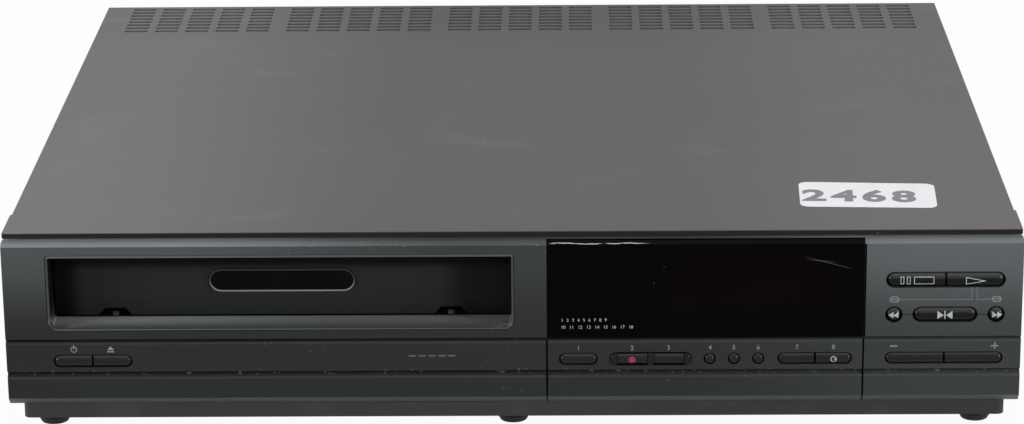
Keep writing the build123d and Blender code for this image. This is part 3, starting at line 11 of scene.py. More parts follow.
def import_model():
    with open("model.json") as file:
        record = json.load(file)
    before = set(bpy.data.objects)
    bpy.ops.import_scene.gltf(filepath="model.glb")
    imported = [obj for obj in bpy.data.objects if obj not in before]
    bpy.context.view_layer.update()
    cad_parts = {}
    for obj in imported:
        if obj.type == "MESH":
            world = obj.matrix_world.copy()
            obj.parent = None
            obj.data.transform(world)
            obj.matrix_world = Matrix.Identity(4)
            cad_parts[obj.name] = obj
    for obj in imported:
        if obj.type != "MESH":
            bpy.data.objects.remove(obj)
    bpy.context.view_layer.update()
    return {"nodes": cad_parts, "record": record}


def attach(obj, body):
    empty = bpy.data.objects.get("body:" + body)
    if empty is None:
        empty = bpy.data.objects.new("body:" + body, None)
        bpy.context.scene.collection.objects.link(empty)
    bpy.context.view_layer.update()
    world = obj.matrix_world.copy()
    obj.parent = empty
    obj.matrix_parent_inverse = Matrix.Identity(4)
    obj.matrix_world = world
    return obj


MM = 0.001

# Places on the recorder, in millimetres from the middle of its footprint
FACE_Y = -179.1
TOP_Z = 89.3
BEVEL_Z = 83.5
CHAMFER_Z = 16.8
UPPER_GROOVE_Z = 42.0
LOWER_GROOVE_Z = 28.2
SLOT_X = -95.8
SLOT_LEFT = -191.5
SLOT_RIGHT = -0.1
SLOT_BOTTOM = 47.4
SLOT_TOP = 78.6
WINDOW_LEFT = 14.4
WINDOW_RIGHT = 145.4
BADGE_Z = 64.1
RECORD_GROUP_X = 57.45
TRANSPORT_X = 178.7
KEY_ROW_Z = 33.5
KEY_MARK_Z = 33.3
KEY_TEXT_Z = 38.4
SIGN_Z = 38.65
TAPE_Z = 59.15
STOP_Z = 67.65
PLAY_Z = 67.4
STILL_Z = 52.5

# Sizes and depths, in millimetres
WINDOW_BACK = 0.2
DOOR_BACK = 13.9
BADGE_THICK = 0.5
BADGE_LENGTH = 60.9
BADGE_HEIGHT = 9.9
RECORD_GROUP_LENGTH = 33.3
RECORD_GROUP_HEIGHT = 5.3
PRINT_LIFT = 0.03
PRINT_THICK = 0.09
PRINT_Y = FACE_Y - PRINT_LIFT

# Marks: single ones, numbers over the keys, dotted lines by their two ends, tapes, dashes
STANDBY_X = -182.2
EJECT_X = -166.9
RECORD_X = 49.7
TIMER_X = 133.2
MINUS_X = 158.0
PLUS_X = 199.7
PAUSE_X = (160.8, 163.4)
STOP_X = 169.75
PLAY_X = (186.9, 195.4)
REWIND_X = (155.3, 157.4)
FORWARD_X = (198.1, 200.2)
KEY_NUMBERS = (("1", 27.5), ("2", 49.7), ("3", 64.8), ("4", 82.0),
               ("5", 91.9), ("6", 102.0), ("7", 118.0), ("8", 133.1))
DOTTED_LINES = ((160.6, 59.1, 189.4, 59.1), (189.6, 59.1, 189.6, 64.1),
                (191.8, 64.1, 191.8, 59.1), (192.9, 59.1, 197.4, 59.1))
DOT_PITCH = 1.25
TAPE_X = (157.9, 199.9)
DASHES_X = (-43.0, -38.9, -34.8, -30.7, -26.6)
DASH_LENGTH = 3.0
KEY_TEXT_HEIGHT = 2.0

# Rows of numbers on the window: first number, its X, pitch, Z
WINDOW_ROWS = ((1, 20.8, 2.25, 50.6), (10, 21.2, 3.5, 47.5))
WINDOW_TEXT_HEIGHT = 1.35

# Dark pieces of painted shade: the seams under the window, the ring round two keys, the strip
# beside the window
SEAM_HALF_WIDTH = 0.32
SEAM_BACK = 0.35
SEAM_THICK = 0.4
RING_WIDTH = 0.5
RING_OUTSIDE = 0.3
STRIP_WIDTH = 0.68
GAP_LIFT = 0.02

# Rim of the badge
RIM_INSET = 0.05
RIM_LIFT = 0.12
RIM_WIDTH = 0.6
RIM_THICK = 0.2

# Marks on domed keys: the largest square they are cut into, their lift and thickness
MARK_SQUARE = 0.4
MARK_LIFT = 0.04
MARK_THICK = 0.1

# Lot label: corners and middle by X and distance behind the face, corner radius, lift,
# thickness, and the height, lift and tilt of its digits
LABEL_CORNERS = ((120.6, 31.3), (177.6, 28.6), (179.2, 61.2), (121.8, 64.8))
LABEL_MIDDLE = (146.1, 45.3)
LABEL_ROUND = 4.0
LABEL_LIFT = 0.02
LABEL_THICK = 0.1
DIGIT_HEIGHT = 16.4
DIGIT_LIFT = 0.16
DIGIT_TILT = -3.2

# Guide ramps: distance from the slot's middle, half width, edge radius, outline by distance
# behind the door and Z
RAMP_PLACE = 70.2
RAMP_HALF_WIDTH = 1.3
RAMP_ROUND = 0.3
RAMP_OUTLINE = ((0.3, 48.3), (3.2, 48.3), (3.2, 50.1), (1.6, 50.1))

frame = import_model()


# Shader helpers

# Inputs and output of the Mix node when it mixes colours
MIX_FACTOR, MIX_LOW, MIX_HIGH, MIX_RESULT = 0, 6, 7, 2

# Specks gather in patches this many times wider than the specks' spacing
SPECK_PATCH = 11.0


class Value:
    """The output of a shader node, with arithmetic."""

    def __init__(self, finish, socket):
        self.finish = finish
        self.socket = socket

    def math(self, operation, *terms):
        """Joins this value with others by one operation."""
        inputs = {0: self}
        inputs.update(enumerate(terms, 1))
        return self.finish.node("ShaderNodeMath", {"operation": operation}, inputs)

    def __add__(self, other):
        return self.math("ADD", other)

    def __radd__(self, other):
        return self.math("ADD", other)

    def __sub__(self, other):
        return self.math("SUBTRACT", other)

    def __rsub__(self, other):
        return self.math("MULTIPLY_ADD", -1.0, other)

    def __mul__(self, other):
        return self.math("MULTIPLY", other)

    def __truediv__(self, other):
        return self.math("DIVIDE", other)

    def __gt__(self, other):
        return self.math("GREATER_THAN", other)

    def __lt__(self, other):
        return self.math("LESS_THAN", other)

    def __abs__(self):
        return self.math("ABSOLUTE")

    def near(self, middle, reach):
        """1 close to a value, falling to 0 at this distance from it."""
        return abs(self - middle).fade(reach, reach * 0.5)

    def fade(self, low, high):
        """0 at low, 1 at high, smooth between them."""
        settings = {"interpolation_type": "SMOOTHSTEP", "clamp": True}
        inputs = {0: self, 1: low, 2: high, 3: 0.0, 4: 1.0}
        return self.finish.node("ShaderNodeMapRange", settings, inputs)


class Finish:
    """A procedural material around one Principled shader."""

    def __init__(self, name, colour, roughness, metallic=0.0, specular=0.5, coat=0.0):
        self.material = bpy.data.materials.new(name)
        self.material.use_nodes = True
        self.tree = self.material.node_tree
        self.shader = self.tree.nodes["Principled BSDF"]
        self.colour = colour
        self.set("Base Color", colour)
        self.set("Roughness", roughness)
        self.set("Metallic", metallic)
        self.set("Specular IOR Level", specular)
        self.set("Coat Weight", coat)
        self.place = self.node("ShaderNodeTexCoord", output="Object")
        self.x, self.y, self.z = (self.along(axis) for axis in "XYZ")

    def node(self, kind, settings=None, inputs=None, output=0):
        """Makes one node of any kind: settings first, then its inputs as numbers or links."""
        made = self.tree.nodes.new(kind)
        for key, value in (settings or {}).items():
            setattr(made, key, value)
        for key, value in (inputs or {}).items():
            if isinstance(value, Value):
                self.tree.links.new(value.socket, made.inputs[key])
            else:
                made.inputs[key].default_value = value
        return Value(self, made.outputs[output])

    def set(self, key, value):
        """Sets an input of the shader to a constant or links it to a node."""
        if isinstance(value, Value):
            self.tree.links.new(value.socket, self.shader.inputs[key])
        else:
            self.shader.inputs[key].default_value = value

    def along(self, axis):
        """The place along one axis, in millimetres."""
        return self.node("ShaderNodeSeparateXYZ", None, {0: self.place}, axis) * (1.0 / MM)

    def noise(self, scale, detail=2.0, stretch=(1.0, 1.0, 1.0), distortion=0.0):
        """Noise between 0 and 1; scale is in features per metre."""
        inputs = {0: self.place, 1: stretch}
        place = self.node("ShaderNodeVectorMath", {"operation": "MULTIPLY"}, inputs)
        inputs = {"Vector": place, "Scale": scale, "Detail": detail, "Distortion": distortion}
        return self.node("ShaderNodeTexNoise", None, inputs)

    def specks(self, scale, size, share):
        """Scattered dots: size as a part of their spacing, share of the surface that has them."""
        inputs = {"Vector": self.place, "Scale": scale}
        distance = self.node("ShaderNodeTexVoronoi", None, inputs, "Distance")
        return (distance < size) * (self.noise(scale / SPECK_PATCH) > 1.0 - share)

    def mix(self, low, high, factor):
        """Colour low where factor is 0, high where it is 1."""
        inputs = {MIX_FACTOR: factor, MIX_LOW: low, MIX_HIGH: high}
        return self.node("ShaderNodeMix", {"data_type": "RGBA"}, inputs, MIX_RESULT)

    def shade(self, colour, amount):
        """The same colour, lighter or darker."""
        grey = self.node("ShaderNodeCombineColor", None, {0: amount, 1: amount, 2: amount})
        settings = {"data_type": "RGBA", "blend_type": "MULTIPLY"}
        inputs = {MIX_FACTOR: 1.0, MIX_LOW: colour, MIX_HIGH: grey}
        return self.node("ShaderNodeMix", settings, inputs, MIX_RESULT)

    def bump(self, height, depth, strength):
        """A relief of this depth, in millimetres."""
        inputs = {"Strength": strength, "Distance": depth * MM, "Height": height}
        return self.node("ShaderNodeBump", None, inputs, "Normal")

    def scratch(self, plane, start, end, width):
        """1 on a straight scratch between two points of a plane, thinning towards its ends."""
        u, v = plane
        run = (end[0] - start[0], end[1] - start[1])
        length = math.hypot(*run)
        along = ((u - start[0]) * (run[0] / length) + (v - start[1]) * (run[1] / length)) / length
        across = abs((u - start[0]) * (run[1] / length) - (v - start[1]) * (run[0] / length))
        inside = (along > 0.0) * (along < 1.0)
        taper = (along * (1.0 - along)) * 4.0
        return (across < taper * width) * inside


def rgb(*levels):
    """Linear opaque colour from the three levels, 0 to 255, of a picture."""
    return (*((level / 255.0) ** 2.2 for level in levels), 1.0)


def cover_paint():
    """Satin dark grey paint with a fine grain, smudges, rubs, scratches and dust, and painted light
    and shade.
    """
    finish = Finish("satin cover paint", rgb(90, 90, 90), 0.5, specular=0.3)
    broad = finish.noise(7.0, 3.0).fade(0.3, 0.72)
    smudge = finish.noise(22.0, 4.0, (1.0, 1.0, 1.0), 0.6).fade(0.55, 0.8)
    grain = finish.noise(1500.0, 1.0)
    streak = finish.noise(55.0, 3.0, (0.16, 1.0, 1.0)).fade(0.5, 0.75)
    top = (finish.x, finish.y)
    long_scratch = ((96.0, 118.0), (176.0, 142.0))
    fine_scratches = (
        ((104.0, 136.0), (158.0, 152.0)), ((-14.0, -56.0), (-13.0, -49.0)),
        ((-160.0, 20.0), (-118.0, 34.0)), ((40.0, 60.0), (86.0, 78.0)),
        ((120.0, -20.0), (176.0, 12.0)), ((-60.0, 96.0), (-22.0, 120.0)),
    )
    marks = finish.scratch(top, *long_scratch, 0.22)
    for start, end in fine_scratches:
        marks = marks + finish.scratch(top, start, end, 0.16)
    dust = finish.specks(260.0, 0.05, 0.45)
    level = 0.9 + broad * 0.11 + smudge * 0.1 + grain * 0.06 + streak * 0.03

    # Painted light and shade: the paint is paler towards the left and right ends and darker towards
    # the rear
    tone = finish.x.fade(-40.0, -190.0) * 0.56 + finish.x.fade(60.0, 170.0) * 0.25 + 0.53
    tone = tone - finish.y.fade(-120.0, 60.0) * 0.07 - finish.y.fade(80.0, 175.0) * 0.1

    # Painted shade makes the front hem nearly black, and painted light makes the walls of the
    # cooling slots paler
    hem_shade = finish.y.fade(FACE_Y + 1.5, FACE_Y + 1.1) * (finish.z < TOP_Z - 0.3)
    colour = finish.shade(finish.colour, level * tone * (1.0 - hem_shade * 0.97))
    slot_wall_light = (finish.y > 60.0) * (finish.z < TOP_Z - 0.12) * (finish.z > TOP_Z - 1.1)
    colour = finish.mix(colour, rgb(122, 119, 112), slot_wall_light * 0.5)

    # Rubbed patches at the right and the left of the rear
    right_patch = finish.x.near(156.0, 44.0) * finish.y.near(122.0, 30.0)
    left_patch = finish.x.near(-118.0, 50.0) * finish.y.near(92.0, 44.0)
    patches = finish.noise(30.0, 5.0, (0.6, 1.0, 1.0), 1.2).fade(0.6, 0.72)
    patches = patches * (right_patch + left_patch * 0.7)
    colour = finish.mix(colour, rgb(140, 141, 141), patches * 0.35)
    colour = finish.mix(colour, rgb(150, 151, 152), marks * 0.30)
    colour = finish.mix(colour, rgb(190, 190, 186), dust * 0.5)
    finish.set("Base Color", colour)
    finish.set("Roughness", 0.5 - smudge * 0.06 + broad * 0.04 + hem_shade * 0.35)
    finish.set("Normal", finish.bump(grain, 0.02, 0.6))
    return finish.material


def panel_plastic():
    """Moulded dark grey plastic: fine grain, dust in its grooves, specks, black record caps,
    painted light and shade.
    """
    finish = Finish("moulded panel plastic", rgb(54, 57, 58), 0.46, specular=0.22)
    grain = finish.noise(1900.0, 1.0)
    broad = finish.noise(14.0, 3.0).fade(0.3, 0.7)
    below_slot_light = (finish.z < 50.0) * (finish.z > 40.0)
    near_groove = abs(finish.z - LOWER_GROOVE_Z).fade(1.7, 0.4)
    near_bevel = abs(finish.z - (BEVEL_Z + 0.1)).fade(0.6, 0.2)
    near_bevel = near_bevel * finish.noise(26.0, 2.0).fade(0.46, 0.6)
    crumbs = finish.noise(520.0, 2.0).fade(0.62, 0.72) * (near_groove + near_bevel * 0.7)
    specks = finish.specks(420.0, 0.07, 0.4)
    rub = finish.noise(90.0, 4.0, (0.2, 1.0, 1.0)).fade(0.6, 0.85) * finish.z.fade(80.0, 88.0)

    # Painted light and highlights: the plastic is paler upwards, towards both ends, on the top
    # bevel, on the foot chamfer and on the lower edges of the grooves, with a little painted shade
    # at the far left
    left = finish.x.fade(-20.0, -150.0)
    right = finish.x.fade(60.0, 170.0)
    height = finish.z.fade(44.0, 82.0)
    bevel = finish.z.fade(BEVEL_Z - 0.3, BEVEL_Z + 0.2)
    chamfer = finish.z.fade(CHAMFER_Z + 0.4, CHAMFER_Z - 0.4)
    above_groove = finish.z.fade(UPPER_GROOVE_Z, UPPER_GROOVE_Z + 1.0)
    edges = finish.z.near(UPPER_GROOVE_Z - 1.0, 0.5) + finish.z.near(LOWER_GROOVE_Z - 2.5, 0.5)
    tone = 0.34 + finish.x.fade(-120.0, 40.0) * 0.03 + finish.x.fade(60.0, 190.0) * 0.5
    tone = tone + above_groove * right * 0.18 - finish.x.fade(-165.0, -200.0) * 0.07
    tone = tone + height * (0.55 + left * 1.0 + right * 1.25)
    tone = tone + bevel * (1.0 + left * 2.9 + right * 0.8) + chamfer * (1.7 - right * 0.5)
    tone = tone + edges * 0.35

    # Painted shade makes the seams beside the window dark inside
    seams = finish.x.near(WINDOW_LEFT, 0.5) + finish.x.near(WINDOW_RIGHT, 0.5)
    seams = seams * (finish.y > FACE_Y + 0.1) * (finish.z < UPPER_GROOVE_Z)
    # The band below the slot is a little paler, by painted light
    level = 0.94 + broad * 0.08 + grain * 0.08 + below_slot_light * 0.02
    colour = finish.shade(finish.colour, level * tone * (1.0 - seams * 0.95))
    colour = finish.mix(colour, rgb(150, 148, 142), crumbs * 0.55)
    colour = finish.mix(colour, rgb(170, 170, 168), specks * 0.55)
    colour = finish.mix(colour, rgb(110, 112, 112), rub * 0.35)
    record_caps = finish.y < PRINT_Y
    finish.set("Base Color", finish.mix(colour, rgb(9, 9, 10), record_caps))
    finish.set("Roughness", 0.44 + broad * 0.06 - record_caps * 0.3)
    finish.set("Normal", finish.bump(grain, 0.015, 0.5))
    return finish.material


def frame_plastic():
    """Slot frame: satin dark plastic, dusty in the corners where the lip meets the sides, with
    painted light on its rims and lip and painted shade on its walls.
    """
    finish = Finish("satin frame plastic", rgb(62, 64, 64), 0.4, specular=0.3)
    grain = finish.noise(1700.0, 1.0)
    corners = finish.x.fade(SLOT_LEFT + 17.5, SLOT_LEFT + 3.5)
    corners = corners + finish.x.fade(SLOT_RIGHT - 9.9, SLOT_RIGHT - 0.9) * 1.3
    corners = corners * finish.z.fade(SLOT_BOTTOM + 8.6, SLOT_BOTTOM + 0.6)
    corners = corners * finish.noise(220.0, 3.0).fade(0.4, 0.6)
    specks = finish.specks(360.0, 0.07, 0.5)
    scuff = finish.noise(70.0, 4.0, (0.12, 1.0, 1.0)).fade(0.58, 0.8)
    depth = finish.y - FACE_Y
    left = finish.x.fade(-60.0, -180.0)
    # Painted light and shade: the long rims at the face are paler, more so to the left; the walls
    # inside are darkened; the lip is paler towards its back and to the left
    long_rims = (finish.z > SLOT_TOP - 0.1) + (finish.z < SLOT_BOTTOM + 0.1)
    rim = depth.fade(0.5, 0.3) * (long_rims * (0.75 + left * 0.5) - 0.1)
    inside = depth.fade(0.6, 1.0)
    lip = inside * (finish.z < SLOT_BOTTOM + 1.2)
    walls = inside * (finish.z > SLOT_BOTTOM + 1.2)
    painted_lip_light = 0.3 + depth.fade(0.5, 12.0) * (3.4 + left * 3.6)
    tone = 1.0 + rim - walls * 0.93 + lip * painted_lip_light
    colour = finish.shade(finish.colour, tone * (0.93 + grain * 0.1))
    colour = finish.mix(colour, rgb(136, 134, 128), corners * 0.5)
    colour = finish.mix(colour, rgb(96, 98, 98), scuff * 0.16)
    colour = finish.mix(colour, rgb(150, 150, 146), specks * 0.5)
    finish.set("Base Color", colour)
    finish.set("Normal", finish.bump(grain, 0.012, 0.5))
    return finish.material


def door_plastic():
    """Cassette door: matt near-black plastic with fine rub lines, darker at its ends and top by
    painted shade.
    """
    finish = Finish("matt door plastic", rgb(45, 46, 46), 0.55, specular=0.05)
    grain = finish.noise(1600.0, 1.0)
    rub = finish.noise(60.0, 4.0, (0.08, 1.0, 1.0)).fade(0.56, 0.8)
    rub = rub * finish.z.fade(SLOT_TOP - 12.6, SLOT_TOP - 24.6)
    # Painted shade: darker towards both ends and towards the top
    ends = finish.x.fade(SLOT_LEFT + 13.5, SLOT_LEFT + 5.5) * 0.9
    ends = ends + finish.x.fade(SLOT_RIGHT - 31.9, SLOT_RIGHT - 15.9) * 0.65
    upper = finish.z.fade(SLOT_TOP - 10.6, SLOT_TOP - 6.3) * 0.85
    colour = finish.shade(finish.colour, (0.9 + grain * 0.14) * (1.0 - ends) * (1.0 - upper))
    colour = finish.mix(colour, rgb(66, 66, 66), rub * 0.3)
    finish.set("Base Color", colour)
    finish.set("Roughness", 0.55 - rub * 0.1)
    finish.set("Normal", finish.bump(grain, 0.012, 0.5))
    return finish.material


def badge_gloss():
    """Badge: black lacquer with a faint haze."""
    finish = Finish("badge lacquer", rgb(7, 7, 7), 0.14, specular=0.05)
    haze = finish.noise(120.0, 3.0).fade(0.5, 0.8)
    finish.set("Base Color", finish.mix(finish.colour, rgb(30, 30, 30), haze * 0.3))
    finish.set("Roughness", 0.12 + haze * 0.1)
    return finish.material


def window_gloss():
    """Smoked display window: a trace of red behind it, a painted reflection on the top bevel, two
    faint scratches.
    """
    finish = Finish("smoked window", rgb(4, 4, 4), 0.1, specular=0.03)
    tint = finish.x.fade(52.0, 84.0) * finish.x.fade(144.0, 116.0)
    tint = tint * finish.z.fade(50.0, 60.0) * finish.z.fade(82.0, 72.0)
    flat = (finish.x, finish.z)
    marks = finish.scratch(flat, (120.0, 78.0), (141.0, 72.4), 0.12)
    marks = marks + finish.scratch(flat, (121.0, 76.6), (135.0, 75.4), 0.09)

    # A thin, broken painted reflection along the left part of the bevel
    sway = finish.noise(75.0, 2.0, (1.0, 0.0, 0.0)) * 1.6 + (BEVEL_Z - 0.4)
    streak = (abs(finish.z - sway) < 0.12) * finish.x.fade(58.0, 50.0)
    streak = streak * finish.x.fade(WINDOW_LEFT + 0.6, WINDOW_LEFT + 3.6)
    streak = streak * finish.noise(170.0, 3.0, (1.0, 0.0, 0.0)).fade(0.36, 0.52)
    haze = finish.noise(40.0, 3.0, (0.4, 1.0, 1.0)).fade(0.5, 0.85)
    dust = finish.specks(300.0, 0.055, 0.4)
    colour = finish.mix(finish.colour, rgb(17, 5, 5), tint * 0.8)
    colour = finish.mix(colour, rgb(26, 26, 26), haze * 0.16)
    colour = finish.mix(colour, rgb(120, 120, 120), marks * 0.4)
    # The painted reflection on the bevel, blue-white
    colour = finish.mix(colour, rgb(226, 228, 240), streak * 0.85)
    colour = finish.mix(colour, rgb(140, 140, 136), dust * 0.4)
    finish.set("Base Color", colour)
    finish.set("Roughness", 0.1 + haze * 0.08 + streak * 0.4)
    return finish.material


def button_gloss():
    """Glossy black key caps with finger haze, paler along their upper edges by a painted
    reflection.
    """
    finish = Finish("glossy key plastic", rgb(10, 10, 11), 0.12, specular=0.15)
    haze = finish.noise(150.0, 3.0).fade(0.45, 0.75)
    row = finish.z < 40.0
    below_play = finish.z < 60.0
    # Painted reflection: paler along the upper edges of the keys
    upper = finish.z.fade(PLAY_Z + 0.4, PLAY_Z + 3.0) * 0.85
    upper = upper + finish.z.fade(STILL_Z + 0.3, STILL_Z + 2.7) * below_play * 0.75
    upper = upper + finish.z.fade(KEY_ROW_Z + 0.9, KEY_ROW_Z + 2.4) * row * 0.5
    colour = finish.mix(finish.colour, rgb(36, 36, 36), row * 0.6 + haze * 0.2)
    finish.set("Base Color", finish.mix(colour, rgb(70, 73, 77), upper))
    finish.set("Roughness", 0.18 + haze * 0.08)
    return finish.material


def base_plastic():
    """Base tray: matt dark plastic with mould grain and dust, darker right of the middle by painted
    shade.
    """
    finish = Finish("matt base plastic", rgb(61, 63, 62), 0.6, specular=0.25)
    grain = finish.noise(900.0, 2.0)
    dust = finish.noise(60.0, 4.0).fade(0.5, 0.8)
    # Painted shade: darker round X 140
    tone = 0.68 - finish.x.near(140.0, 110.0) * 0.12
    colour = finish.shade(finish.colour, (0.9 + grain * 0.12) * tone)
    finish.set("Base Color", finish.mix(colour, rgb(100, 98, 92), dust * 0.15))
    finish.set("Normal", finish.bump(grain, 0.05, 0.5))
    return finish.material


def foot_rubber():
    """Feet: dull black rubber, greyed at the sole."""
    finish = Finish("foot rubber", rgb(34, 34, 34), 0.72, specular=0.25)
    grain = finish.noise(700.0, 2.0)
    worn = finish.z.fade(1.4, 0.2) * finish.noise(200.0, 2.0).fade(0.3, 0.7)
    colour = finish.shade(finish.colour, 0.85 + grain * 0.25)
    finish.set("Base Color", finish.mix(colour, rgb(84, 82, 78), worn * 0.6))
    finish.set("Normal", finish.bump(grain, 0.03, 0.5))
    return finish.material


def brushed(name, colour, roughness, lines, stretch, stain=None):
    """A metal with fine lines and, where given, patches of another colour."""
    finish = Finish(name, colour, roughness, 1.0)
    fine = finish.noise(lines, 2.0, stretch)
    patch = finish.noise(35.0, 4.0).fade(0.45, 0.75)
    shaded = finish.shade(finish.colour, 0.88 + fine * 0.2)
    if stain:
        shaded = finish.mix(shaded, stain, patch * 0.35)
    finish.set("Base Color", shaded)
    finish.set("Roughness", roughness - 0.05 + fine * 0.1 + patch * 0.06)
    finish.set("Normal", finish.bump(fine, 0.01, 0.35))
    return finish.material


def moulded(name, colour, roughness, grain_scale=900.0, specular=0.4, dust=0.12):
    """A moulded plastic with grain and a little dust."""
    finish = Finish(name, colour, roughness, specular=specular)
    grain = finish.noise(grain_scale, 2.0)
    patch = finish.noise(50.0, 3.0).fade(0.45, 0.8)
    shaded = finish.shade(finish.colour, 0.92 + grain * 0.12)
    finish.set("Base Color", finish.mix(shaded, rgb(120, 116, 108), patch * dust))
    finish.set("Roughness", roughness + patch * 0.08)
    finish.set("Normal", finish.bump(grain, 0.015, 0.5))
    return finish.material


def board_laminate():
    """Main board: brown laminate with pale prints, the dark and blue parts that stand on it."""
    finish = Finish("board laminate", rgb(150, 118, 66), 0.5, specular=0.4)
    weave = finish.noise(1200.0, 1.0)
    inputs = {
        "Vector": finish.place, "Scale": 30.0,
        "Mortar Size": 0.012, "Brick Width": 0.62, "Row Height": 0.21,
    }
    prints = finish.node("ShaderNodeTexBrick", None, inputs, "Fac")
    prints = prints * finish.noise(52.0, 1.0).fade(0.5, 0.54)
    tint = finish.noise(24.0, 3.0).fade(0.3, 0.7)
    parts = finish.z > 21.9
    tall_parts = finish.z > 27.0
    colour = finish.shade(finish.colour, 0.8 + weave * 0.2 + tint * 0.1)
    colour = finish.mix(colour, rgb(206, 196, 160), prints * 0.4)
    colour = finish.mix(colour, rgb(26, 26, 27), parts)
    colour = finish.mix(colour, rgb(48, 56, 78), tall_parts)
    finish.set("Base Color", colour)
    finish.set("Normal", finish.bump(weave, 0.01, 0.4))
    return finish.material


def tube_glass():
    """Display tube: smoky glass over a paler grid."""
    finish = Finish("tube glass", rgb(46, 56, 54), 0.08, coat=0.5)
    grid = ((finish.x * 1.2).math("SINE") > 0.2) * ((finish.z * 2.4).math("SINE") > -0.4)
    colour = finish.mix(finish.colour, rgb(84, 98, 92), grid * 0.5)
    finish.set("Base Color", colour)
    finish.set("Roughness", 0.08 + grid * 0.06)
    return finish.material


def core_iron():
    """Transformer: iron laminations with a little rust."""
    finish = Finish("transformer laminations", rgb(86, 84, 82), 0.5, 0.6)
    plates = (finish.y * 9.0).math("SINE").fade(-0.6, 0.6)
    rust = finish.noise(90.0, 4.0).fade(0.55, 0.78)
    colour = finish.shade(finish.colour, 0.7 + plates * 0.4)
    finish.set("Base Color", finish.mix(colour, rgb(112, 74, 48), rust * 0.35))
    finish.set("Roughness", 0.45 + rust * 0.25)
    finish.set("Normal", finish.bump(plates, 0.05, 0.6))
    return finish.material


def print_ink(name, colour, roughness=0.5, wear=0.18, rougher=0.1):
    """Printing ink, worn in spots: darker there by this share, and rougher elsewhere."""
    finish = Finish(name, colour, roughness, specular=0.3)
    whole = finish.noise(900.0, 2.0).fade(0.35, 0.6)
    finish.set("Base Color", finish.shade(finish.colour, (1.0 - wear) + whole * wear))
    finish.set("Roughness", roughness + whole * rougher)
    return finish.material


def mottled(name, colour, roughness, specular, low, spread):
    """A dull finish with a fine mottle; its shade runs from low to low plus spread."""
    finish = Finish(name, colour, roughness, specular=specular)
    grain = finish.noise(900.0, 2.0)
    finish.set("Base Color", finish.shade(finish.colour, low + grain * spread))
    return finish.material


def champagne_rim():
    """Thin pale rim round the badge, paler at its lower side by painted light and darker at its
    upper side by painted shade.
    """
    finish = Finish("champagne rim", rgb(150, 148, 132), 0.35, specular=0.3)
    fine = finish.noise(800.0, 2.0)
    # Painted light below, fading to painted shade at the upper side
    tone = 0.06 + finish.z.fade(BADGE_Z + 1.1, BADGE_Z - 4.5) * 0.85
    finish.set("Base Color", finish.shade(finish.colour, (0.75 + fine * 0.3) * tone))
    return finish.material


def label_paper():
    """White paper label with a slight tone and handling marks."""
    finish = Finish("label paper", rgb(236, 236, 240), 0.62, specular=0.3)
    fibre = finish.noise(700.0, 3.0)
    soil = finish.noise(45.0, 3.0).fade(0.55, 0.85)
    colour = finish.shade(finish.colour, 0.97 + fibre * 0.04)
    finish.set("Base Color", finish.mix(colour, rgb(196, 192, 180), soil * 0.25))
    finish.set("Normal", finish.bump(fibre, 0.02, 0.4))
    return finish.material


# The finish of each material slot in the record
FINISHES = {
    "cover_paint": cover_paint(),
    "panel_plastic": panel_plastic(),
    "frame_plastic": frame_plastic(),
    "door_plastic": door_plastic(),
    "badge_gloss": badge_gloss(),
    "window_gloss": window_gloss(),
    "button_gloss": button_gloss(),
    "base_plastic": base_plastic(),
    "foot_rubber": foot_rubber(),
    "screw_black": brushed("blackened screw steel", rgb(52, 52, 54), 0.4, 600.0, (1.0, 1.0, 1.0)),
    "rear_paint": moulded("rear panel paint", rgb(62, 63, 64), 0.55, 1300.0, 0.3, 0.18),
    "socket_plastic": moulded("socket plastic", rgb(30, 30, 31), 0.5, 1100.0),
    "screen_tin": brushed("tinned screen plate", rgb(188, 186, 178), 0.34, 260.0, (1.0, 1.0, 0.2),
                          rgb(140, 132, 116)),
    "board_laminate": board_laminate(),
    "tube_glass": tube_glass(),
    "deck_steel": brushed("zinc plated steel", rgb(176, 176, 170), 0.36, 300.0, (0.05, 1.0, 1.0),
                          rgb(160, 150, 124)),
    "reel_plastic": moulded("pale reel plastic", rgb(202, 200, 192), 0.42, 700.0, 0.4, 0.08),
    "drum_alloy": brushed("turned drum alloy", rgb(206, 207, 208), 0.18, 900.0, (0.1, 0.1, 1.0)),
    "shaft_steel": brushed("ground shaft steel", rgb(180, 180, 182), 0.22, 800.0, (0.2, 0.2, 1.0)),
    "bearing_brass": brushed("sintered bearing brass", rgb(178, 146, 86), 0.4, 500.0,
                             (1.0, 1.0, 1.0)),
    "roller_rubber": moulded("roller rubber", rgb(30, 30, 30), 0.75, 500.0, 0.25, 0.2),
    "guide_plastic": moulded("guide plastic", rgb(58, 60, 66), 0.45),
    "head_alloy": brushed("ground head alloy", rgb(190, 190, 190), 0.24, 700.0, (1.0, 0.1, 1.0)),
    "core_iron": core_iron(),
    "sink_alloy": brushed("plain sink alloy", rgb(176, 178, 180), 0.42, 300.0, (0.06, 1.0, 0.3)),
}

# Inks and finishes of the pieces that this script adds
PALE = print_ink("pale print ink", rgb(176, 180, 182))
LIGHT = print_ink("light print ink", rgb(142, 145, 146))
FAINT = print_ink("faint print ink", rgb(96, 99, 99))
RED = print_ink("crimson print ink", rgb(152, 46, 80), 0.4, 0.15, 0.0)
RIM = champagne_rim()
GAP_SHADE = mottled("gap shade", rgb(9, 9, 9), 0.9, 0.03, 0.8, 0.4)
PAPER = label_paper()
GREY = mottled("lot number ink", rgb(128, 129, 131), 0.6, 0.2, 0.92, 0.14)

# Each CAD node gets the finish of its slot
for entry in frame["record"]["subparts"]:
    obj = frame["nodes"][entry["node"]]
    if not obj.material_slots:
        obj.data.materials.append(None)
    for holder in obj.material_slots:
        holder.material = FINISHES[entry["material_slot"]]


# Pieces that the frame doesn't have: prints, painted shade in gaps, rim, label and ramps


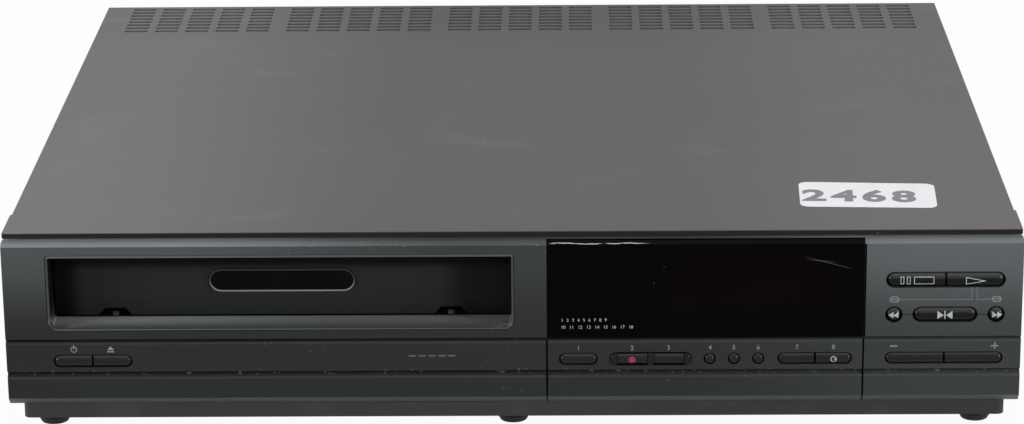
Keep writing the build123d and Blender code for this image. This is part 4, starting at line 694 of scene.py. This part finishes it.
def finished(bm, name, body, material):
    """Turns a bmesh into a piece that rides on a body."""
    bmesh.ops.recalc_face_normals(bm, faces=bm.faces)
    mesh = bpy.data.meshes.new(name)
    bm.to_mesh(mesh)
    bm.free()
    mesh.materials.append(material)
    piece = bpy.data.objects.new(name, mesh)
    bpy.context.collection.objects.link(piece)
    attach(piece, body)


def polygon(bm, points, front=PRINT_Y):
    """One upright flat face at Y front, from points with X and Z in millimetres."""
    verts = [bm.verts.new((x * MM, front * MM, z * MM)) for x, z in points]
    return bm.faces.new(verts)


def disc(x, z, radius, count=28):
    """Points round a circle."""
    turns = [2 * math.pi * k / count for k in range(count)]
    return [(x + radius * math.cos(t), z + radius * math.sin(t)) for t in turns]


def bar(x0, x1, z0, z1):
    """Corner points of an upright rectangle between its sides."""
    return [(x0, z0), (x1, z0), (x1, z1), (x0, z1)]


def block(x, z, half_length, half_height):
    """Corner points of an upright rectangle round its middle."""
    return bar(x - half_length, x + half_length, z - half_height, z + half_height)


def arrow(x0, x1, z, half_height):
    """Corner points of a triangle with its base at x0 and its tip at x1."""
    return [(x0, z - half_height), (x1, z), (x0, z + half_height)]


def pill(x, z, half_length, half_height, count=13):
    """Points round a bar with round ends; count is the number of points of each end."""
    points = []
    for side, start in ((1, -90.0), (-1, 90.0)):
        for step in range(count):
            turn = math.radians(start + 180.0 * step / (count - 1))
            points.append((x + side * (half_length - half_height) + half_height * math.cos(turn),
                           z + half_height * math.sin(turn)))
    return points


def hollow(bm, face, line):
    """Leaves only a rim of this width, in millimetres, of a flat face."""
    face.normal_update()
    bmesh.ops.inset_individual(bm, faces=[face], thickness=line * MM, use_even_offset=True)
    bmesh.ops.delete(bm, geom=[face], context="FACES")


def thicken(bm, back=0.0, up=0.0):
    """Gives every flat face of the piece a thickness, in millimetres."""
    made = bmesh.ops.extrude_face_region(bm, geom=bm.faces[:])
    moved = [item for item in made["geom"] if isinstance(item, bmesh.types.BMVert)]
    bmesh.ops.translate(bm, verts=moved, vec=(0.0, back * MM, up * MM))


def digits(bm, text, x, z, height, front=PRINT_Y, wide=1.0, heavy=0.0, spacing=1.0):
    """Adds plain characters of the built-in font, centred at x with their middle line at z."""
    curve = bpy.data.curves.new("characters", "FONT")
    curve.body = text
    curve.size = 1.0
    curve.offset = heavy
    curve.space_character = spacing
    curve.resolution_u = 3
    curve.align_x = "CENTER"
    holder = bpy.data.objects.new("characters", curve)
    bpy.context.collection.objects.link(holder)
    filled = holder.evaluated_get(bpy.context.evaluated_depsgraph_get())
    shape = bpy.data.meshes.new_from_object(filled)
    low = min(v.co.y for v in shape.vertices)
    high = max(v.co.y for v in shape.vertices)
    scale = height * MM / (high - low)
    place = Matrix.Translation((x * MM, front * MM, z * MM))
    place = place @ Matrix.Rotation(math.pi / 2, 4, "X")
    place = place @ Matrix.Diagonal((scale * wide, scale, scale, 1.0))
    shape.transform(place @ Matrix.Translation((0.0, -(low + high) / 2, 0.0)))
    bm.from_mesh(shape)
    bpy.data.objects.remove(holder)
    bpy.data.curves.remove(curve)
    bpy.data.meshes.remove(shape)


def standby_and_eject(bm):
    """Ring with an upright bar, and a triangle over a bar."""
    hollow(bm, polygon(bm, disc(STANDBY_X, 38.6, 1.35)), 0.32)
    polygon(bm, block(STANDBY_X, 39.6, 0.22, 0.9))
    polygon(bm, [(EJECT_X - 1.4, 38.3), (EJECT_X + 1.4, 38.3), (EJECT_X, 40.0)])
    polygon(bm, block(EJECT_X, 37.55, 1.4, 0.25))


def minus_and_plus(bm):
    """Signs over the two channel keys."""
    polygon(bm, block(MINUS_X, SIGN_Z, 1.5, 0.25))
    polygon(bm, block(PLUS_X, SIGN_Z, 1.5, 0.25))
    polygon(bm, block(PLUS_X, SIGN_Z, 0.25, 1.45))


def dotted(bm, x0, z0, x1, z1):
    """A dotted line between two points of the panel."""
    count = round(math.hypot(x1 - x0, z1 - z0) / DOT_PITCH)
    for step in range(count + 1):
        x = x0 + (x1 - x0) * step / count
        z = z0 + (z1 - z0) * step / count
        polygon(bm, block(x, z, 0.2, 0.25))


def tape(bm, x):
    """Outline of a small cassette with its two reels."""
    hollow(bm, polygon(bm, pill(x, TAPE_Z, 1.95, 1.3)), 0.28)
    for reel_x in (x - 0.85, x + 0.85):
        hollow(bm, polygon(bm, disc(reel_x, TAPE_Z, 0.66, 14)), 0.24)


def panel_marks():
    """Plain numbers over the keys, symbols and dotted lines."""
    bm = bmesh.new()
    for text, x in KEY_NUMBERS:
        digits(bm, text, x, KEY_TEXT_Z, KEY_TEXT_HEIGHT)
    standby_and_eject(bm)
    minus_and_plus(bm)
    for line in DOTTED_LINES:
        dotted(bm, *line)
    for x in TAPE_X:
        tape(bm, x)
    thicken(bm, PRINT_THICK)
    finished(bm, "panel_print", "chassis", LIGHT)


def panel_dashes():
    """Five dashes to the left of the window."""
    bm = bmesh.new()
    for x in DASHES_X:
        polygon(bm, bar(x, x + DASH_LENGTH, 34.9, 35.5))
    thicken(bm, PRINT_THICK)
    finished(bm, "panel_dashes", "chassis", FAINT)


def panel_gap_shade():
    """Painted shade: dark strips in the seams under the window's sides, and flat dark strips beside
    it and round two keys.
    """
    bm = bmesh.new()
    for x in (WINDOW_LEFT, WINDOW_RIGHT):
        seam = bar(x - SEAM_HALF_WIDTH, x + SEAM_HALF_WIDTH, CHAMFER_Z + 0.4, UPPER_GROOVE_Z - 0.4)
        polygon(bm, seam, FACE_Y + SEAM_BACK)
    thicken(bm, SEAM_THICK)

    # These two lie flat on the face as painted shade: beside the window and round the record and
    # memory keys
    gap_front = FACE_Y - GAP_LIFT
    strip_left = WINDOW_RIGHT + 0.02
    strip = bar(strip_left, strip_left + STRIP_WIDTH, UPPER_GROOVE_Z + 0.9, BEVEL_Z - 0.1)
    polygon(bm, strip, gap_front)
    ring = pill(RECORD_GROUP_X, KEY_ROW_Z, RECORD_GROUP_LENGTH / 2 + RING_OUTSIDE,
                RECORD_GROUP_HEIGHT / 2 + RING_OUTSIDE, 17)
    hollow(bm, polygon(bm, ring, gap_front), RING_WIDTH)
    finished(bm, "panel_gap_shade", "chassis", GAP_SHADE)


def lay_on(bm, node):
    """Cuts flat marks into small squares and lays them on the front of a curved CAD node."""
    for axis in (0, 2):
        spread = [v.co[axis] for v in bm.verts]
        low, high = min(spread), max(spread)
        count = math.ceil((high - low) / (MARK_SQUARE * MM))
        for step in range(1, count):
            point, normal = Vector(), Vector()
            point[axis] = low + (high - low) * step / count
            normal[axis] = 1.0
            everything = bm.verts[:] + bm.edges[:] + bm.faces[:]
            bmesh.ops.bisect_plane(bm, geom=everything, plane_co=point, plane_no=normal)
    cap = BVHTree.FromPolygons([node.matrix_world @ v.co for v in node.data.vertices],
                               [face.vertices for face in node.data.polygons])
    backwards = Vector((0.0, 1.0, 0.0))
    for vertex in bm.verts:
        start = Vector((vertex.co.x, (FACE_Y - 20.0) * MM, vertex.co.z))
        hit = cap.ray_cast(start, backwards)[0]
        vertex.co.y = hit.y - MARK_LIFT * MM


def key_print(name, body, build, material=PALE):
    """A mark printed on a key, which moves with it."""
    bm = bmesh.new()
    build(bm)
    lay_on(bm, frame["nodes"][body])
    thicken(bm, MARK_THICK)
    finished(bm, name, body, material)


def pause_and_stop(bm):
    """Two upright outlines and a long one."""
    for x in PAUSE_X:
        hollow(bm, polygon(bm, block(x, STOP_Z, 0.75, 1.65)), 0.28)
    hollow(bm, polygon(bm, block(STOP_X, STOP_Z, 4.15, 1.65)), 0.3)


def play(bm):
    """Outline of an arrow to the right."""
    hollow(bm, polygon(bm, arrow(*PLAY_X, PLAY_Z, 1.7)), 0.3)


def still(bm):
    """Two arrows that meet at an upright bar."""
    polygon(bm, arrow(TRANSPORT_X - 3.1, TRANSPORT_X - 0.5, STILL_Z, 1.8))
    polygon(bm, block(TRANSPORT_X, STILL_Z, 0.25, 1.8))
    polygon(bm, arrow(TRANSPORT_X + 3.1, TRANSPORT_X + 0.5, STILL_Z, 1.8))


def rewind(bm):
    """Two arrows to the left."""
    for x in REWIND_X:
        polygon(bm, arrow(x + 2.2, x, STILL_Z, 1.4))


def forward(bm):
    """Two arrows to the right."""
    for x in FORWARD_X:
        polygon(bm, arrow(x, x + 2.2, STILL_Z, 1.4))


def record(bm):
    """A dot."""
    polygon(bm, disc(RECORD_X, KEY_MARK_Z, 1.45))


def timer(bm):
    """A clock face: a ring with one hand."""
    hollow(bm, polygon(bm, disc(TIMER_X, KEY_MARK_Z, 1.3)), 0.35)
    polygon(bm, block(TIMER_X + 0.45, KEY_MARK_Z + 0.1, 0.35, 0.2))


def window_numbers():
    """Two rows of small plain numbers on the display window."""
    bm = bmesh.new()
    for first, start, pitch, z in WINDOW_ROWS:
        for place in range(9):
            digits(bm, str(first + place), start + place * pitch, z, WINDOW_TEXT_HEIGHT,
                   PRINT_Y + WINDOW_BACK)
    thicken(bm, PRINT_THICK)
    finished(bm, "window_print", "chassis", PALE)


def lot_label():
    """Paper label on the cover."""
    bm = bmesh.new()
    bm.faces.new([bm.verts.new((x * MM, (FACE_Y + back) * MM, (TOP_Z + LABEL_LIFT) * MM))
                  for x, back in LABEL_CORNERS])
    bmesh.ops.bevel(bm, geom=bm.verts[:], offset=LABEL_ROUND * MM, offset_type="OFFSET", segments=6,
                    profile=0.5, affect="VERTICES", material=-1)
    thicken(bm, up=LABEL_THICK)
    finished(bm, "lot_label", "chassis", PAPER)


def lot_digits():
    """Plain digits, made upright and then laid on the label."""
    bm = bmesh.new()
    digits(bm, "2468", 0.0, 0.0, DIGIT_HEIGHT, front=0.0, wide=0.98, heavy=0.04, spacing=1.25)
    lay_down = Matrix.Rotation(-math.pi / 2, 4, "X")
    tilt = Matrix.Rotation(math.radians(DIGIT_TILT), 4, "Z")
    x, back = LABEL_MIDDLE
    spot = Matrix.Translation((x * MM, (FACE_Y + back) * MM, (TOP_Z + DIGIT_LIFT) * MM))
    bmesh.ops.transform(bm, matrix=spot @ tilt @ lay_down, verts=bm.verts)
    finished(bm, "lot_digits", "chassis", GREY)


def badge_rim():
    """Rim of the badge on the cassette door."""
    bm = bmesh.new()
    outline = pill(SLOT_X, BADGE_Z, BADGE_LENGTH / 2 - RIM_INSET, BADGE_HEIGHT / 2 - RIM_INSET)
    hollow(bm, polygon(bm, outline, FACE_Y + DOOR_BACK - BADGE_THICK - RIM_LIFT), RIM_WIDTH)
    thicken(bm, RIM_THICK)
    finished(bm, "badge_rim", "door", RIM)


def guide_ramps():
    """Ramps that show in the two notches of the door."""
    bm = bmesh.new()
    for x in (SLOT_X - RAMP_PLACE, SLOT_X + RAMP_PLACE):
        left, right = ([bm.verts.new((side * MM, (FACE_Y + DOOR_BACK + back) * MM, z * MM))
                        for back, z in RAMP_OUTLINE]
                       for side in (x - RAMP_HALF_WIDTH, x + RAMP_HALF_WIDTH))
        bm.faces.new(left)
        bm.faces.new(right)
        for k in range(4):
            bm.faces.new((left[k], left[(k + 1) % 4], right[(k + 1) % 4], right[k]))
    bmesh.ops.bevel(bm, geom=bm.edges[:], offset=RAMP_ROUND * MM, segments=2,
                    profile=0.5, affect="EDGES", material=-1)
    finished(bm, "guide_ramps", "chassis", FINISHES["socket_plastic"])


# All pieces, in their order
panel_marks()
panel_dashes()
panel_gap_shade()
key_print("pause_stop_print", "pause_stop_button", pause_and_stop)
key_print("play_print", "play_button", play)
key_print("still_print", "still_button", still)
key_print("rewind_print", "rewind_button", rewind)
key_print("forward_print", "forward_button", forward)
key_print("record_print", "record_button", record, RED)
key_print("timer_print", "timer_button", timer)
window_numbers()
lot_label()
lot_digits()
badge_rim()
guide_ramps()


# Floor, background and light

WHITE = (1.0, 1.0, 1.0, 1.0)
FLOOR_GREY = (0.85, 0.85, 0.85, 1.0)
FLOOR_HALF = 6.0
FLOOR_WHITE = 0.95
AMBIENT = 0.2

# Lamps: name, place and target in metres, size in metres, power in watts
LAMPS = (
    ("overhead", (0.0, -0.05, 1.3), (0.0, 0.0, 0.05), (1.7, 1.3), 12.5),
    ("front", (0.1, -1.7, 0.6), (0.0, -0.18, 0.05), (1.2, 0.6), 0.6),
    ("right", (1.2, -0.7, 0.35), (0.1, -0.18, 0.06), (0.4, 0.4), 10.0),
    ("left", (-1.2, -0.6, 0.35), (-0.1, -0.18, 0.06), (0.4, 0.4), 7.5),
)

# Camera: place in metres, turns in degrees, focal length and picture width in pixels
CAMERA_PLACE = (0.0236, -1.5556, 0.5538)
CAMERA_TURNS = (-0.962, 18.322, -0.574)
FOCAL_PIXELS = 3541.2
PICTURE_PIXELS = 1024.0
SENSOR_WIDTH = 36.0


def backdrop(tree, shader, share):
    """Joins a plain shader with white that only the camera, reflections and glass see."""
    path = tree.nodes.new("ShaderNodeLightPath")
    seen = path.outputs["Is Camera Ray"]
    for name in ("Is Glossy Ray", "Is Transmission Ray"):
        either = tree.nodes.new("ShaderNodeMath")
        either.operation = "MAXIMUM"
        tree.links.new(seen, either.inputs[0])
        tree.links.new(path.outputs[name], either.inputs[1])
        seen = either.outputs[0]
    part = tree.nodes.new("ShaderNodeMath")
    part.operation = "MULTIPLY"
    part.inputs[1].default_value = share
    tree.links.new(seen, part.inputs[0])
    kind = "ShaderNodeBackground" if shader.type == "BACKGROUND" else "ShaderNodeEmission"
    white = tree.nodes.new(kind)
    white.inputs["Color"].default_value = WHITE
    white.inputs["Strength"].default_value = 1.0
    joined = tree.nodes.new("ShaderNodeMixShader")
    tree.links.new(part.outputs[0], joined.inputs[0])
    tree.links.new(shader.outputs[0], joined.inputs[1])
    tree.links.new(white.outputs[0], joined.inputs[2])
    return joined


def white_floor():
    """A pale floor that keeps the recorder's shadow."""
    bm = bmesh.new()
    bmesh.ops.create_grid(bm, x_segments=1, y_segments=1, size=FLOOR_HALF)
    mesh = bpy.data.meshes.new("floor")
    bm.to_mesh(mesh)
    bm.free()
    floor = bpy.data.objects.new("floor", mesh)
    bpy.context.collection.objects.link(floor)
    floor_look = bpy.data.materials.new("white floor")
    floor_look.use_nodes = True
    tree = floor_look.node_tree
    plain = tree.nodes["Principled BSDF"]
    plain.inputs["Base Color"].default_value = FLOOR_GREY
    plain.inputs["Roughness"].default_value = 0.9
    plain.inputs["Specular IOR Level"].default_value = 0.0
    joined = backdrop(tree, plain, FLOOR_WHITE)
    tree.links.new(joined.outputs[0], tree.nodes["Material Output"].inputs["Surface"])
    mesh.materials.append(floor_look)


def studio_world():
    """Faint light from all sides, and white behind the recorder."""
    world = bpy.data.worlds.new("studio")
    bpy.context.scene.world = world
    world.use_nodes = True
    tree = world.node_tree
    ambient = tree.nodes["Background"]
    ambient.inputs["Color"].default_value = WHITE
    ambient.inputs["Strength"].default_value = AMBIENT
    joined = backdrop(tree, ambient, 1.0)
    tree.links.new(joined.outputs[0], tree.nodes["World Output"].inputs["Surface"])


def softbox(name, place, target, size, power):
    """A rectangular lamp that faces a point."""
    lamp = bpy.data.lights.new(name, "AREA")
    lamp.shape = "RECTANGLE"
    lamp.size, lamp.size_y = size
    lamp.energy = power
    holder = bpy.data.objects.new(name, lamp)
    bpy.context.collection.objects.link(holder)
    holder.location = place
    holder.rotation_euler = (Vector(target) - Vector(place)).to_track_quat("-Z", "Y").to_euler()


def photo_camera():
    """The camera, as the photograph was taken."""
    yaw, pitch, roll = (math.radians(angle) for angle in CAMERA_TURNS)
    ahead = Vector((math.sin(yaw) * math.cos(pitch), math.cos(yaw) * math.cos(pitch),
                    -math.sin(pitch)))
    level = Vector((math.cos(yaw), -math.sin(yaw), 0.0))
    upward = level.cross(ahead)
    right = level * math.cos(roll) + upward * math.sin(roll)
    top = upward * math.cos(roll) - level * math.sin(roll)
    lens = bpy.data.cameras.new("photo")
    lens.sensor_width = SENSOR_WIDTH
    lens.lens = FOCAL_PIXELS * SENSOR_WIDTH / PICTURE_PIXELS
    lens.clip_start = 0.05
    camera = bpy.data.objects.new("photo", lens)
    bpy.context.collection.objects.link(camera)
    turn = Matrix((right, top, -ahead)).transposed().to_4x4()
    camera.matrix_world = Matrix.Translation(CAMERA_PLACE) @ turn
    bpy.context.scene.camera = camera
    bpy.context.scene.view_settings.view_transform = "Standard"


white_floor()
studio_world()
for lamp in LAMPS:
    softbox(*lamp)
photo_camera()
